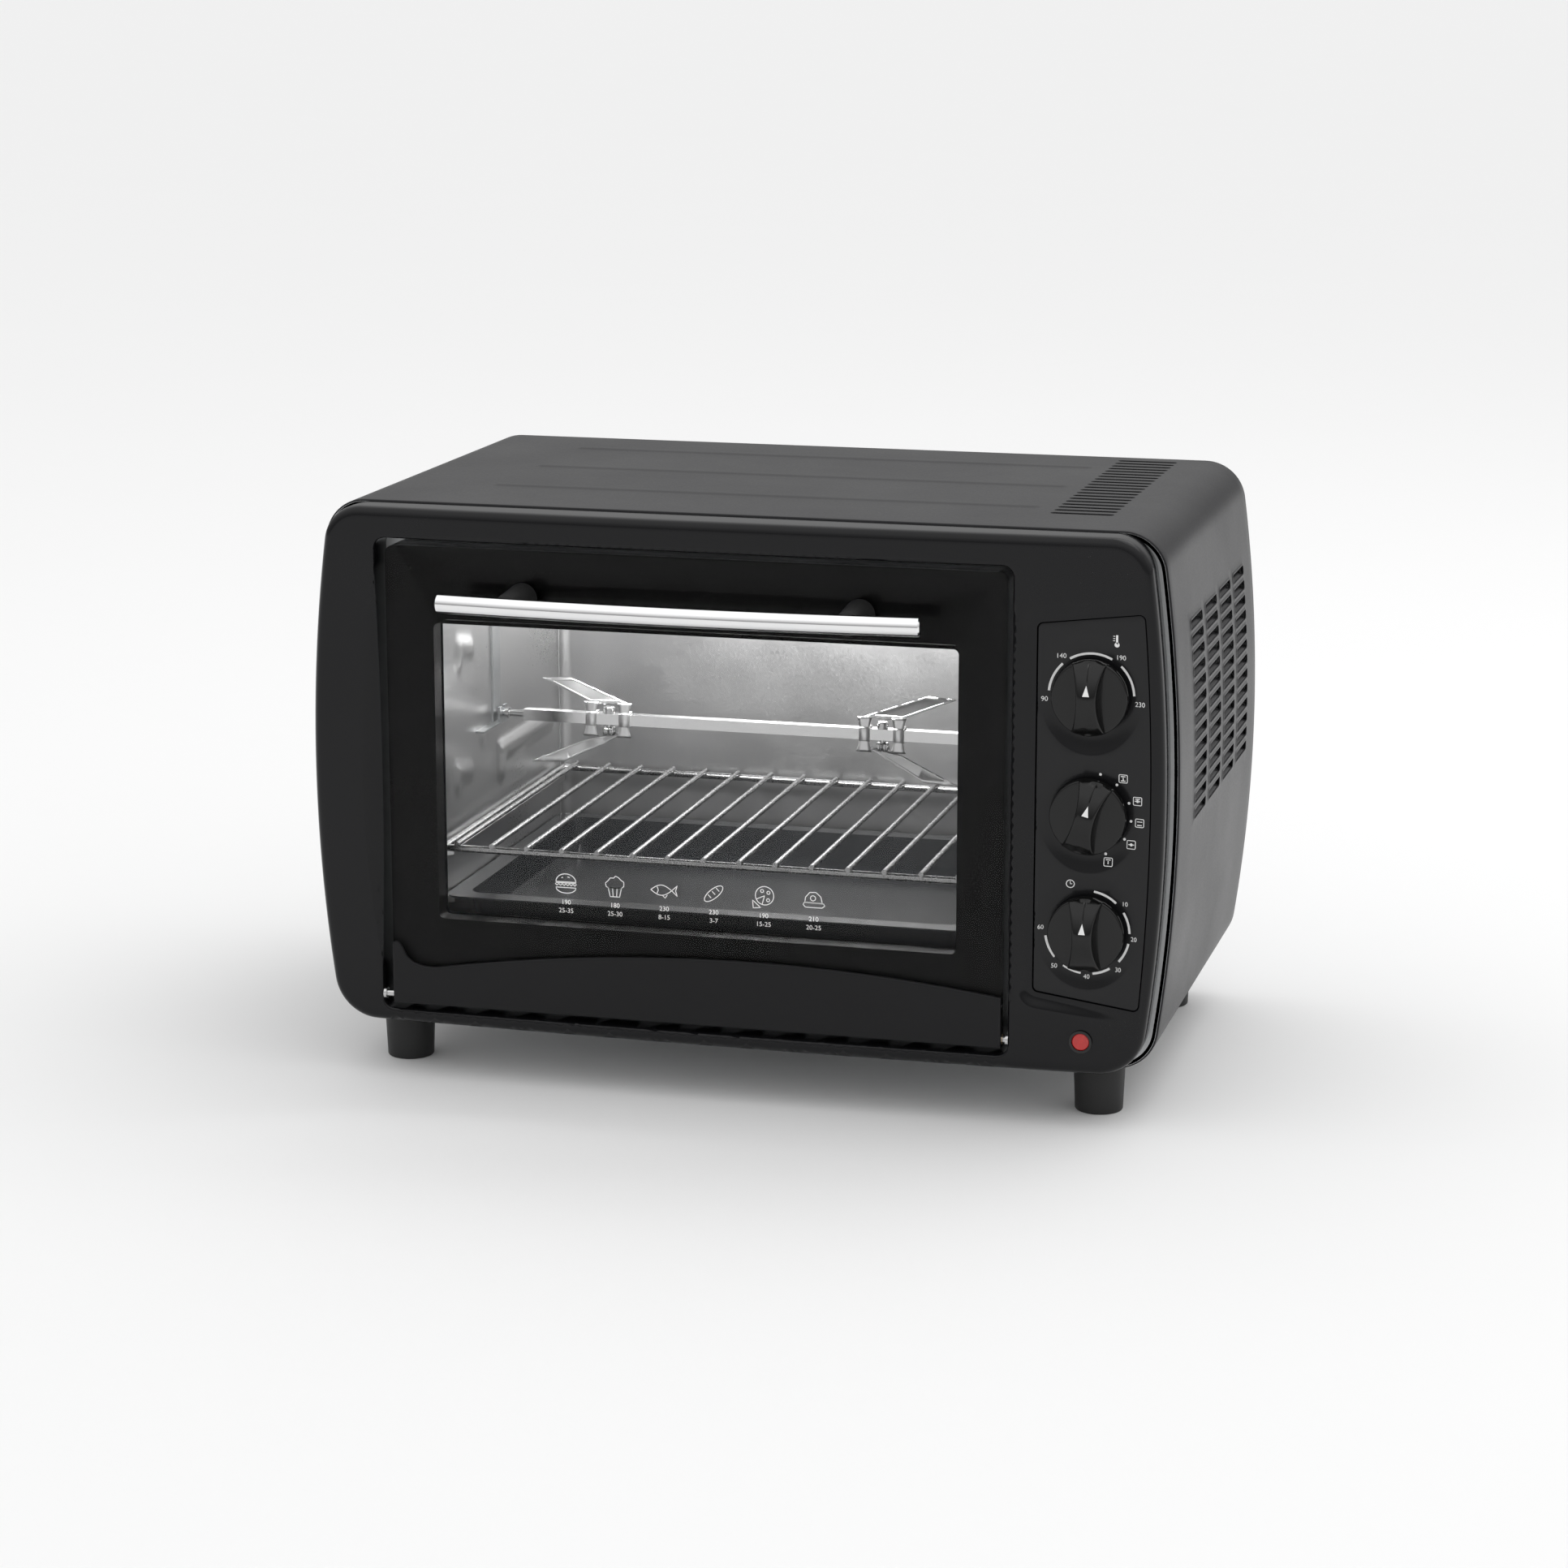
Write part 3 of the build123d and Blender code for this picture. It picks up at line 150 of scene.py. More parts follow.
def inside(points, loop):
    """Which points lie inside a closed loop."""
    px, py = points[:, 0], points[:, 1]
    loop = np.array(loop, float)
    low, high = loop.min(0), loop.max(0)
    near = np.flatnonzero((px > low[0]) & (px < high[0]) & (py > low[1]) & (py < high[1]))
    result = np.zeros(len(points), bool)
    if len(near):
        x, y = px[near, None], py[near, None]
        a, b = loop[None, :, :], np.roll(loop, -1, 0)[None, :, :]
        crosses = (a[..., 1] > y) != (b[..., 1] > y)
        rise = np.where(b[..., 1] == a[..., 1], 1e-12, b[..., 1] - a[..., 1])
        at = a[..., 0] + (y - a[..., 1]) * (b[..., 0] - a[..., 0]) / rise
        result[near] = (crosses & (x < at)).sum(1) % 2 == 1
    return result


def distance(points, line, closed=True):
    """Distance from each point to a line of straight runs."""
    line = np.array(line, float)
    a, b = (line, np.roll(line, -1, 0)) if closed else (line[:-1], line[1:])
    best = np.full(len(points), 1e9)
    for i in range(len(a)):
        d = b[i] - a[i]
        t = np.clip(((points - a[i]) @ d) / max(d @ d, 1e-12), 0, 1)
        best = np.minimum(best, np.linalg.norm(points - a[i] - t[:, None] * d, axis=1))
    return best


def ease(x, low, high):
    """0 below low, 1 above high, smooth between."""
    t = np.clip((x - low) / (high - low), 0, 1)
    return t * t * (3 - 2 * t)


def round_edge(d, radius):
    """Drop of a rounded edge of that radius at distance d in from it."""
    return radius - np.sqrt(np.maximum(radius**2 - np.maximum(radius - d, 0) ** 2, 0))


def triangles(outline, holes=(), lines=(), points=()):
    """Triangles that fill outline but not holes, with corners on every line and point."""
    coords, edges = [], []
    for loop, closed in [(outline, True)] + [(h, True) for h in holes] + list(lines):
        start, count = len(coords), len(loop)
        coords += [Vector(p) for p in loop]
        edges += [(start + i, start + (i + 1) % count) for i in range(count if closed else count - 1)]
    coords += [Vector(p) for p in points]
    verts, _, faces, *_ = delaunay_2d_cdt(coords, edges, [], 0, 1e-4)
    verts, faces = np.array([tuple(v) for v in verts]), np.array(faces)
    middles = verts[faces].mean(1)
    keep = inside(middles, outline)
    for hole in holes:
        keep &= ~inside(middles, hole)
    used, faces = np.unique(faces[keep], return_inverse=True)
    return verts[used], faces.reshape(-1, 3)


# ---- meshes ----
def piece(name, verts, faces, material, body, replaces=(), sharp=32.0, thickness=0.0):
    """Smooth-shaded mesh object from millimetre points, tied to the frame.

    A thickness below zero isn't evened out at corners, which keeps sharp tips short."""
    mesh = bpy.data.meshes.new(name)
    mesh.from_pydata([tuple(float(c) * MM for c in v) for v in verts], [], [tuple(map(int, f)) for f in faces])
    mesh.validate()
    mesh.update()
    mesh.shade_smooth()
    mesh.set_sharp_from_angle(angle=math.radians(sharp))
    obj = bpy.data.objects.new(name, mesh)
    bpy.context.scene.collection.objects.link(obj)
    mesh.materials.append(finish[material])
    if thickness:
        solid = obj.modifiers.new("thickness", "SOLIDIFY")
        solid.thickness, solid.offset, solid.use_even_offset = abs(thickness) * MM, -1, thickness > 0
    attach(obj, body)
    if replaces:
        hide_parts(*replaces)


class Shape:
    """Collects points and faces of one piece."""

    def __init__(self):
        self.verts, self.faces = [], []

    def add(self, verts, faces):
        start = len(self.verts)
        self.verts += [tuple(v) for v in verts]
        self.faces += [tuple(int(i) + start for i in f) for f in faces]

    def grid(self, rows, closed=False):
        """Quads over rows of points; closed joins each row's end to its start."""
        count = len(rows[0])
        verts = [p for row in rows for p in row]
        faces = []
        for r in range(len(rows) - 1):
            for i in range(count if closed else count - 1):
                j = (i + 1) % count
                faces.append((r * count + i, r * count + j, (r + 1) * count + j, (r + 1) * count + i))
        self.add(verts, faces)


def face_front(verts, faces):
    """Turns triangles in the x-z plane so that they face -Y."""
    a, b, c = (verts[faces[:, k]] for k in range(3))
    cross = (b[:, 0] - a[:, 0]) * (c[:, 1] - a[:, 1]) - (b[:, 1] - a[:, 1]) * (c[:, 0] - a[:, 0])
    faces = faces.copy()
    faces[cross < 0] = faces[cross < 0][:, ::-1]
    return faces


def faced(points, faces, toward):
    """Triangles turned to face along toward, which is one direction or one for each triangle."""
    a, b, c = (points[faces[:, k]] for k in range(3))
    faces = faces.copy()
    away = (np.cross(b - a, c - a) * toward).sum(1) < 0
    faces[away] = faces[away][:, ::-1]
    return faces


def border_walls(shape, verts, faces, depth, back):
    """Adds the front sheet and its side walls, which run straight back from each open edge to y = back(x, z)."""
    front = [(x, y, z) for (x, z), y in zip(verts, depth)]
    edges = {}
    for f in faces:
        for i in range(3):
            a, b = int(f[i]), int(f[(i + 1) % 3])
            edges[(a, b)] = True
    open_edges = [(a, b) for a, b in edges if (b, a) not in edges]
    rim = sorted({v for e in open_edges for v in e})
    backs = back(verts[rim])
    index = {v: len(front) + i for i, v in enumerate(rim)}
    walls = [(verts[v][0], backs[i], verts[v][1]) for i, v in enumerate(rim)]
    quads = [(b, a, index[a], index[b]) for a, b in open_edges]
    shape.add(front + walls, [tuple(f) for f in faces] + quads)


# ---- materials ----
PATCH_SHARE, GRAIN_SHARE = 0.55, 0.45  # how much of the colour's drift each noise gives


def put(node, **values):
    """Sets a node's inputs by name, with _ for a space."""
    for key, value in values.items():
        node.inputs[key.replace("_", " ")].default_value = value


def finish_of(name, dark, light, roughness, patch, grain, bump, relief, shader):
    """Principled material with two scales of noise: colour and roughness drift in patches, and a grain gives relief.

    patch and grain are the noises' scales per metre, and relief is the grain's height in millimetres."""
    made = bpy.data.materials.new(name)
    made.use_nodes = True
    tree = made.node_tree
    link = tree.links.new
    bsdf = tree.nodes["Principled BSDF"]
    put(bsdf, **shader)
    where = tree.nodes.new("ShaderNodeTexCoord")
    wide, fine = tree.nodes.new("ShaderNodeTexNoise"), tree.nodes.new("ShaderNodeTexNoise")
    put(wide, Scale=patch, Detail=4.0)
    put(fine, Scale=grain, Detail=3.0)
    for texture in (wide, fine):
        link(where.outputs["Object"], texture.inputs["Vector"])
    mixed = tree.nodes.new("ShaderNodeMix")
    mixed.data_type = "RGBA"
    mixed.inputs[6].default_value, mixed.inputs[7].default_value = (*dark, 1), (*light, 1)
    blend = tree.nodes.new("ShaderNodeMath")
    blend.operation = "MULTIPLY_ADD"
    blend.inputs[1].default_value = GRAIN_SHARE
    link(fine.outputs["Fac"], blend.inputs[0])
    half = tree.nodes.new("ShaderNodeMath")
    half.operation = "MULTIPLY"
    half.inputs[1].default_value = PATCH_SHARE
    link(wide.outputs["Fac"], half.inputs[0])
    link(half.outputs[0], blend.inputs[2])
    link(blend.outputs[0], mixed.inputs[0])
    link(mixed.outputs[2], bsdf.inputs["Base Color"])
    spread = tree.nodes.new("ShaderNodeMapRange")
    put(spread, From_Min=0.3, From_Max=0.7, To_Min=roughness[0], To_Max=roughness[1])
    link(blend.outputs[0], spread.inputs["Value"])
    link(spread.outputs["Result"], bsdf.inputs["Roughness"])
    lift = tree.nodes.new("ShaderNodeBump")
    put(lift, Strength=bump, Distance=relief * MM)
    link(fine.outputs["Fac"], lift.inputs["Height"])
    link(lift.outputs["Normal"], bsdf.inputs["Normal"])
    return made


def clear_glass(name, ior, tint, smear):
    """Thin clear glass: light passes straight through, and a Fresnel share of it is mirrored."""
    made = bpy.data.materials.new(name)
    made.use_nodes = True
    tree = made.node_tree
    link = tree.links.new
    tree.nodes.remove(tree.nodes["Principled BSDF"])
    out = tree.nodes["Material Output"]
    clear, gloss = tree.nodes.new("ShaderNodeBsdfTransparent"), tree.nodes.new("ShaderNodeBsdfGlossy")
    mix, share = tree.nodes.new("ShaderNodeMixShader"), tree.nodes.new("ShaderNodeFresnel")
    put(clear, Color=(*tint, 1))
    put(share, IOR=ior)
    where, noise = tree.nodes.new("ShaderNodeTexCoord"), tree.nodes.new("ShaderNodeTexNoise")
    put(noise, Scale=14.0, Detail=5.0)
    spread = tree.nodes.new("ShaderNodeMapRange")
    put(spread, From_Min=0.4, From_Max=0.75, To_Min=0.015, To_Max=smear)
    link(where.outputs["Object"], noise.inputs["Vector"])
    link(noise.outputs["Fac"], spread.inputs["Value"])
    link(spread.outputs["Result"], gloss.inputs["Roughness"])
    link(share.outputs["Fac"], mix.inputs["Fac"])
    link(clear.outputs["BSDF"], mix.inputs[1])
    link(gloss.outputs["BSDF"], mix.inputs[2])
    link(mix.outputs["Shader"], out.inputs["Surface"])
    return made


def grey(level):
    return (level, level, level)


def specular(level):
    return {"Specular_IOR_Level": level}


METAL = {"Metallic": 1.0}
FINISHES = (  # name, dark, light, roughness, patch, grain, bump, relief, other shader values
    ("casing_enamel", (0.007, 0.007, 0.008), (0.013, 0.013, 0.015), (0.30, 0.40), 14, 900, 0.12, 0.08, specular(0.21)),
    ("bezel_plastic", (0.004, 0.004, 0.0045), (0.008, 0.008, 0.009), (0.12, 0.20), 18, 2200, 0.06, 0.02,
     specular(0.24)),
    ("control_plastic", (0.005, 0.005, 0.0055), (0.009, 0.009, 0.010), (0.14, 0.22), 25, 2600, 0.06, 0.02,
     specular(0.3)),
    ("knob_plastic", grey(0.003), grey(0.006), (0.10, 0.18), 60, 2500, 0.06, 0.02, specular(0.35)),
    ("lamp_red", (0.30, 0.006, 0.006), (0.55, 0.015, 0.012), (0.12, 0.25), 300, 900, 0.4, 0.3,
     {"Coat_Weight": 0.5, "Coat_Roughness": 0.08}),
    ("zinc_steel", (0.36, 0.37, 0.38), (0.55, 0.56, 0.56), (0.32, 0.48), 60, 700, 0.12, 0.05, METAL),
    ("cavity_steel", grey(0.46), grey(0.66), (0.24, 0.38), 9, 800, 0.16, 0.06, METAL),
    ("cavity_spangle", grey(0.34), grey(0.50), (0.36, 0.50), 22, 520, 0.20, 0.06, METAL),
    ("rack_steel", grey(0.26), grey(0.42), (0.20, 0.34), 90, 1200, 0.08, 0.03, METAL),
    ("fork_steel", grey(0.84), grey(0.94), (0.30, 0.42), 60, 1400, 0.06, 0.02, METAL),
    ("heater_sheath", (0.20, 0.19, 0.18), (0.34, 0.32, 0.30), (0.38, 0.55), 80, 600, 0.2, 0.08, METAL),
    ("ceramic", (0.60, 0.57, 0.50), (0.74, 0.71, 0.64), (0.45, 0.60), 120, 1200, 0.15, 0.08, {}),
    ("door_enamel", grey(0.002), grey(0.004), (0.20, 0.30), 16, 1800, 0.08, 0.03, specular(0.1)),
    ("door_trim_satin", (0.007, 0.007, 0.0075), (0.012, 0.012, 0.013), (0.26, 0.36), 16, 2400, 0.10, 0.03,
     specular(0.18)),
    ("chrome", (0.80, 0.80, 0.81), grey(0.88), (0.05, 0.13), 40, 900, 0.03, 0.02, METAL),
    ("wire_chrome", grey(0.62), grey(0.82), (0.10, 0.24), 90, 1200, 0.08, 0.03, METAL),
    ("tray_enamel", (0.010, 0.011, 0.012), (0.020, 0.021, 0.023), (0.14, 0.26), 30, 700, 0.10, 0.06, specular(0.5)),
    ("foot_plastic", grey(0.010), grey(0.018), (0.42, 0.58), 60, 1500, 0.25, 0.08, specular(0.4)),
    ("brass", (0.55, 0.38, 0.14), (0.70, 0.50, 0.22), (0.25, 0.38), 120, 1500, 0.08, 0.03, METAL),
    ("screw_steel", grey(0.50), grey(0.70), (0.20, 0.34), 150, 2000, 0.08, 0.03, METAL),
    ("switch_plastic", grey(0.02), grey(0.035), (0.40, 0.55), 60, 1500, 0.15, 0.05, {}),
    ("print_white", grey(0.70), (0.86, 0.86, 0.85), (0.40, 0.52), 200, 3000, 0.10, 0.02, {}),
)
finish = {row[0]: finish_of(*row) for row in FINISHES}
finish["door_glass"] = clear_glass("door_glass", 1.16, (0.975, 0.975, 0.975), 0.035)

for row in frame["record"]["subparts"]:  # a material slot of the record has a finish of the same name
    for place in nodes[row["node"]].material_slots:
        place.material = finish[row["material_slot"]]
for place in nodes["wire_rack"].material_slots:
    place.material = finish["rack_steel"]

# ---- casing ----
half_loop = np.array(half_casing(*WRAP))
half_loop = half_loop[half_loop[:, 0] > 0]
side_part = half_loop[half_loop[:, 0] > WRAP_LIP]
roof_part = half_loop[(half_loop[:, 0] <= WRAP_LIP) & (half_loop[:, 1] > SIDE_Z)]
half_loop = np.vstack([[[WRAP_LIP, WRAP[1]]], side_part, roof_part])
path = np.vstack([half_loop * (-1, 1), [[0.0, WRAP[2]]], half_loop[::-1]])
run = np.concatenate([[0], np.cumsum(np.linalg.norm(np.diff(path, axis=0), axis=1))])
tangent = np.gradient(path, run, axis=0)
normal = np.stack([-tangent[:, 1], tangent[:, 0]], 1)
normal /= np.linalg.norm(normal, axis=1)[:, None]
RUN = run[-1]
HALF_RUN = RUN / 2

HEM_R, BACK_R, FLANGE = 1.2, 2.0, 12.0
# the sheet from front to back: (run t, y, how far in from the outline)
steps = [(-3.0, BEZEL_BACK, 3.0)]
for angle in (90, 67, 45, 22, 0):
    a = math.radians(angle)
    steps.append((HEM_R * (1 - a), BEZEL_BACK + HEM_R - HEM_R * math.sin(a), HEM_R - HEM_R * math.cos(a)))
steps = sorted(steps)
rear_t = steps[-1][0] + (REAR - BACK_R) - (BEZEL_BACK + HEM_R)
for angle in (0, 22, 45, 67, 90):
    a = math.radians(angle)
    steps.append((rear_t + BACK_R * a, REAR - BACK_R + BACK_R * math.sin(a), BACK_R - BACK_R * math.cos(a)))
steps.append((steps[-1][0] + FLANGE - BACK_R, REAR, FLANGE))
steps = np.array(steps)
T_FRONT = steps[5][0] - (BEZEL_BACK + HEM_R)  # t = y + T_FRONT on the flat


def wrap_point(s, t, lift=0.0):
    """Points of the casing sheet at run s and depth t, moved out by lift."""
    y = np.interp(t, steps[:, 0], steps[:, 1])
    inset = np.interp(t, steps[:, 0], steps[:, 2]) - lift
    x, z = np.interp(s, run, path[:, 0]), np.interp(s, run, path[:, 1])
    nx, nz = np.interp(s, run, normal[:, 0]), np.interp(s, run, normal[:, 1])
    return np.stack([x - nx * inset, y, z - nz * inset], -1)


right_half = path[:, 0] > 0
side_s = run[right_half][::-1]
side_z = path[right_half][::-1, 1]


def side_run(z):
    """Run position of height z on the right side."""
    return float(np.interp(z, side_z[side_z > 40], side_s[side_z > 40]))


RIB_YS = [FACE + y for y in (93.0, 170.0, 246.0)]
RIB_HALF, RIB_R, RIB_X, RIB_HEIGHT = 153.5, 4.5, -4.0, 0.8
RIB_BENDS = (-3.6, -2.4, -1.2, -0.2, 0.9, 2.0)  # mesh lines round a rib, out from its radius
TOP_SLOT_X, TOP_SLOT_Y, TOP_SLOTS, TOP_SLOT_PITCH = 180.5, FACE + 176.0, 20, 10.7
TOP_SLOT, TOP_SLOT_EDGE = (35.0, 4.6, 2.3), (36.4, 6.0, 3.0)  # length, width and end radius: the slot, a line round it
LOUVRE_ROWS, LOUVRE_PITCH, LOUVRE_COLUMNS, LOUVRE_COLUMN_PITCH = 13, 8.7, 4, 49.5
LOUVRE_LENGTH, LOUVRE_HEIGHT, LOUVRE_CORNER, LOUVRE_Y, LOUVRE_Z = 38.0, 5.3, 1.6, FACE + 166.0, 214.5
FLAP_IN, FLAP_UP = 6.0, 4.2
CASING_MIDDLE = (0.0, 20.0, SIDE_Z)
LIP = ((0.0, 0.42), (0.5, 0.36), (1.0, 0.14), (1.6, 0.0))  # raised edge round a louvre: distance out and height

wrap_holes, wrap_lines, louvres = [], [], []
for i in range(TOP_SLOTS):
    centre = (HALF_RUN + TOP_SLOT_X, TOP_SLOT_Y + (i - (TOP_SLOTS - 1) / 2) * TOP_SLOT_PITCH + T_FRONT)
    wrap_holes.append(rounded_box(centre, *TOP_SLOT, 7, 4))
    wrap_lines.append((rounded_box(centre, *TOP_SLOT_EDGE, 7, 4), True))
for column in range(LOUVRE_COLUMNS):
    y = LOUVRE_Y + (column - (LOUVRE_COLUMNS - 1) / 2) * LOUVRE_COLUMN_PITCH
    for row in range(LOUVRE_ROWS):
        z = LOUVRE_Z + (row - (LOUVRE_ROWS - 1) / 2) * LOUVRE_PITCH
        louvres.append((side_run(z), y + T_FRONT, z))
for s, t, _ in louvres:
    for out, height in LIP:
        loop = rounded_box((s, t), LOUVRE_HEIGHT + 2 * out, LOUVRE_LENGTH + 2 * out, LOUVRE_CORNER + out, 5, 4)
        if out == 0.0:
            wrap_holes.append(loop)
        else:
            wrap_lines.append((loop, True))
for y in RIB_YS:
    for out in RIB_BENDS:
        r = RIB_R + out
        wrap_lines.append((rounded_box((HALF_RUN + RIB_X, y + T_FRONT), 2 * (RIB_HALF + r), 2 * r, r, 9, 40), True))

t_keys = np.concatenate([steps[:6, 0], np.arange(steps[5, 0] + 8, rear_t - 4, 8.0), steps[6:, 0]])
grid_s, grid_t = np.meshgrid(run, t_keys)
grid_points = np.stack([grid_s.ravel(), grid_t.ravel()], 1)
clear_of = np.ones(len(grid_points), bool)  # of the louvres, the roof slots and the ribs, which bring their own points
s_top, s_low = side_run(LOUVRE_Z + 6.5 * LOUVRE_PITCH), side_run(LOUVRE_Z - 6.5 * LOUVRE_PITCH)
field = ((s_top - 1, LOUVRE_Y - 96 + T_FRONT), (s_low + 1, LOUVRE_Y + 96 + T_FRONT))
vents = ((HALF_RUN + 161, TOP_SLOT_Y - 108 + T_FRONT), (HALF_RUN + 200, TOP_SLOT_Y + 108 + T_FRONT))
for low, high in (field, vents):
    clear_of &= ~((grid_points > low) & (grid_points < high)).all(1)
for y in RIB_YS:
    low, high = (HALF_RUN + RIB_X - 162, y + T_FRONT - 7), (HALF_RUN + RIB_X + 162, y + T_FRONT + 7)
    clear_of &= ~((grid_points > low) & (grid_points < high)).all(1)
border = [(0.0, steps[0, 0]), (RUN, steps[0, 0]), (RUN, steps[-1, 0]), (0.0, steps[-1, 0])]
wrap_flat, wrap_faces = triangles(border, wrap_holes, wrap_lines, grid_points[clear_of])
lift = np.zeros(len(wrap_flat))
for y in RIB_YS:
    rib = [(HALF_RUN + RIB_X + end * RIB_HALF, y + T_FRONT) for end in (-1, 1)]
    d = distance(wrap_flat, rib, False)
    lift += RIB_HEIGHT * (1 - ease(d, RIB_R - 3.2, RIB_R + 1.6))
for s, t, _ in louvres:
    near = np.flatnonzero((abs(wrap_flat[:, 0] - s) < 5) & (abs(wrap_flat[:, 1] - t) < 22))
    loop = rounded_box((s, t), LOUVRE_HEIGHT, LOUVRE_LENGTH, LOUVRE_CORNER, 5, 4)
    d = distance(wrap_flat[near], loop)
    lift[near] = np.maximum(lift[near], np.interp(d, [o for o, _ in LIP], [h for _, h in LIP]))
wrap_shape = Shape()
wrap_xyz = wrap_point(wrap_flat[:, 0], wrap_flat[:, 1], lift)
wrap_shape.add(wrap_xyz, faced(wrap_xyz, wrap_faces, wrap_xyz[wrap_faces].mean(1) - CASING_MIDDLE))
for s, t, z in louvres:
    rows = []
    for k in range(4):
        share = k / 3
        low = side_run(z - LOUVRE_HEIGHT / 2 + FLAP_UP * share)
        along = np.linspace(t - LOUVRE_LENGTH / 2 + 1.0, t + LOUVRE_LENGTH / 2 - 1.0, 7)
        rows.append([tuple(p) for p in wrap_point(np.full(7, low), along, -FLAP_IN * share - 0.1)])
    wrap_shape.grid(rows)
piece("casing_shell", wrap_shape.verts, wrap_shape.faces, "casing_enamel", "casing",
      ["outer_wrapper"], thickness=SHEET)

# ---- bezel ----
EDGE_R, LIP_R = 5.0, 1.6
SCOOP_Z, SCOOP_R, SCOOP_WIDTH, SCOOP_DEPTH = 176.0, 640.0, 10.0, 6.0
SURROUND_NEAR, SURROUND_FAR = 2.6, 9.5


def round_corners(points, radius, per_corner=6):
    """Closed loop with every corner given as (x, z, True) rounded."""
    out = []
    count = len(points)
    for i, (x, z, corner) in enumerate(points):
        if not corner:
            out.append((x, z))
            continue
        here = np.array([x, z])
        before, after = (np.array(points[(i + k) % count][:2]) - here for k in (-1, 1))
        before, after = before / np.linalg.norm(before), after / np.linalg.norm(after)
        half = math.acos(np.clip(before @ after, -1, 1)) / 2
        reach, middle = radius / math.tan(half), (before + after) / np.linalg.norm(before + after)
        centre = here + middle * radius / math.sin(half)
        first, last = here + before * reach - centre, here + after * reach - centre
        for k in range(per_corner):
            v = first + (last - first) * k / (per_corner - 1)
            out.append(tuple(centre + v / np.linalg.norm(v) * radius))
    return out


# the control plate: straight left side, slanting top and bottom, bowed right side
PLATE_L, PLATE_L_ZS = 171.0, (76.0, 277.0)
PLATE_R, PLATE_R_ENDS, PLATE_ZS, PLATE_CORNER = 233.0, (228.5, 228.0), (68.0, 284.0), 3.0


def plate_loop(grow, run=4.0):
    """Outline of the control plate moved out by grow."""
    bottom, top = PLATE_ZS[0] - grow, PLATE_ZS[1] + grow
    points = [(PLATE_L - grow, PLATE_L_ZS[1] + grow, True), (PLATE_L - grow, PLATE_L_ZS[0] - grow, True),
              (PLATE_R_ENDS[0] + grow, bottom, True)]
    for k in range(1, 24):
        z = bottom + (top - bottom) * (0.03 + 0.94 * k / 24)
        q = (z - sum(PLATE_ZS) / 2) / ((PLATE_ZS[1] - PLATE_ZS[0]) / 2 + grow)
        end = PLATE_R_ENDS[q > 0]
        points.append((PLATE_R + grow - (PLATE_R - end) * q * q, z, False))
    points.append((PLATE_R_ENDS[1] + grow, top, True))
    return subdivide(round_corners(points, PLATE_CORNER + grow), run)


def inset_loop(loop, d):
    """Closed anticlockwise loop moved in by d."""
    line = np.array(loop)
    along = np.roll(line, -1, 0) - np.roll(line, 1, 0)
    along /= np.linalg.norm(along, axis=1)[:, None]
    return line + np.stack([-along[:, 1], along[:, 0]], 1) * d


def scoop_width(z):
    """Width of the scoop at height z, zero beyond its ends."""
    return np.maximum(SCOOP_WIDTH - (z - SCOOP_Z) ** 2 / (2 * SCOOP_R), 0)


bezel_loop = casing_outline(*BEZEL)
opening_centre = ((OPENING[0] + OPENING[1]) / 2, (OPENING[2] + OPENING[3]) / 2)
opening_size = (OPENING[1] - OPENING[0], OPENING[3] - OPENING[2])


def opening_loop(grow):
    return rounded_box(opening_centre, opening_size[0] + 2 * grow, opening_size[1] + 2 * grow, 6.0 + grow, 8, 60)


def bezel_y(points):
    """Front of the bezel at points (x, z)."""
    x, z = points[:, 0], points[:, 1]
    y = FACE + CROWN_R - np.sqrt(CROWN_R**2 - x**2)
    width = scoop_width(z)
    share = np.clip((x - (OPENING[0] - width)) / np.maximum(width, 1e-6), 0, 1)
    share *= (x < OPENING[0] + 0.01) * (width > 0)
    y += SCOOP_DEPTH * width / SCOOP_WIDTH * np.sin(share * math.pi / 2)
    from_plate = distance(points, plate_loop(0.0))
    y += (PLATE_Y - 0.4 - y) * (1 - ease(from_plate, SURROUND_NEAR, SURROUND_FAR))
    y += round_edge(distance(points, opening_loop(0.0)), LIP_R) * (share < 0.5)
    return np.minimum(y + round_edge(distance(points, bezel_loop), EDGE_R), BEZEL_BACK - 1)


scoop_span = math.sqrt(2 * SCOOP_R * (SCOOP_WIDTH - 0.4))
scoop_zs = np.linspace(SCOOP_Z - scoop_span, SCOOP_Z + scoop_span, 50)
scoop_line = [(OPENING[0] - scoop_width(z), z) for z in scoop_zs]
lamp_loop = arc_points(LAMP, 5.0, 0, 345, 24)
loose = [p for d in (0.4, 1.1, 2.1, 3.4, 4.9, 7.0) for p in inset_loop(bezel_loop, d)]
loose += [p for d in (0.25, 0.7, 1.2, 1.7, 3.5) for p in opening_loop(d)]
loose += [(OPENING[0] - scoop_width(z) * q, z) for z in scoop_zs for q in (0.25, 0.5, 0.75)]
ring_points = np.array([p for g in (1.6, 2.6, 3.6, 4.6, 5.6, 6.6, 7.6, 8.6, 9.6, 11.0) for p in plate_loop(g, 3.0)])
loose += [tuple(p) for p in ring_points[inside(ring_points, inset_loop(bezel_loop, 7.6))]]
grid = np.stack([a.ravel() for a in np.meshgrid(np.arange(-238, 239, 5.0), np.arange(33, 323, 5.0))], 1)
free = inside(grid, inset_loop(bezel_loop, 8.5)) & ~inside(grid, opening_loop(5.0)) & ~inside(grid, plate_loop(13.0))
free &= np.linalg.norm(grid - np.array(LAMP), axis=1) > 8
loose += [tuple(p) for p in grid[free]]
bezel_flat, bezel_faces = triangles(bezel_loop, [opening_loop(0.0), plate_loop(0.4), lamp_loop],
                                    [(scoop_line, False)], loose)


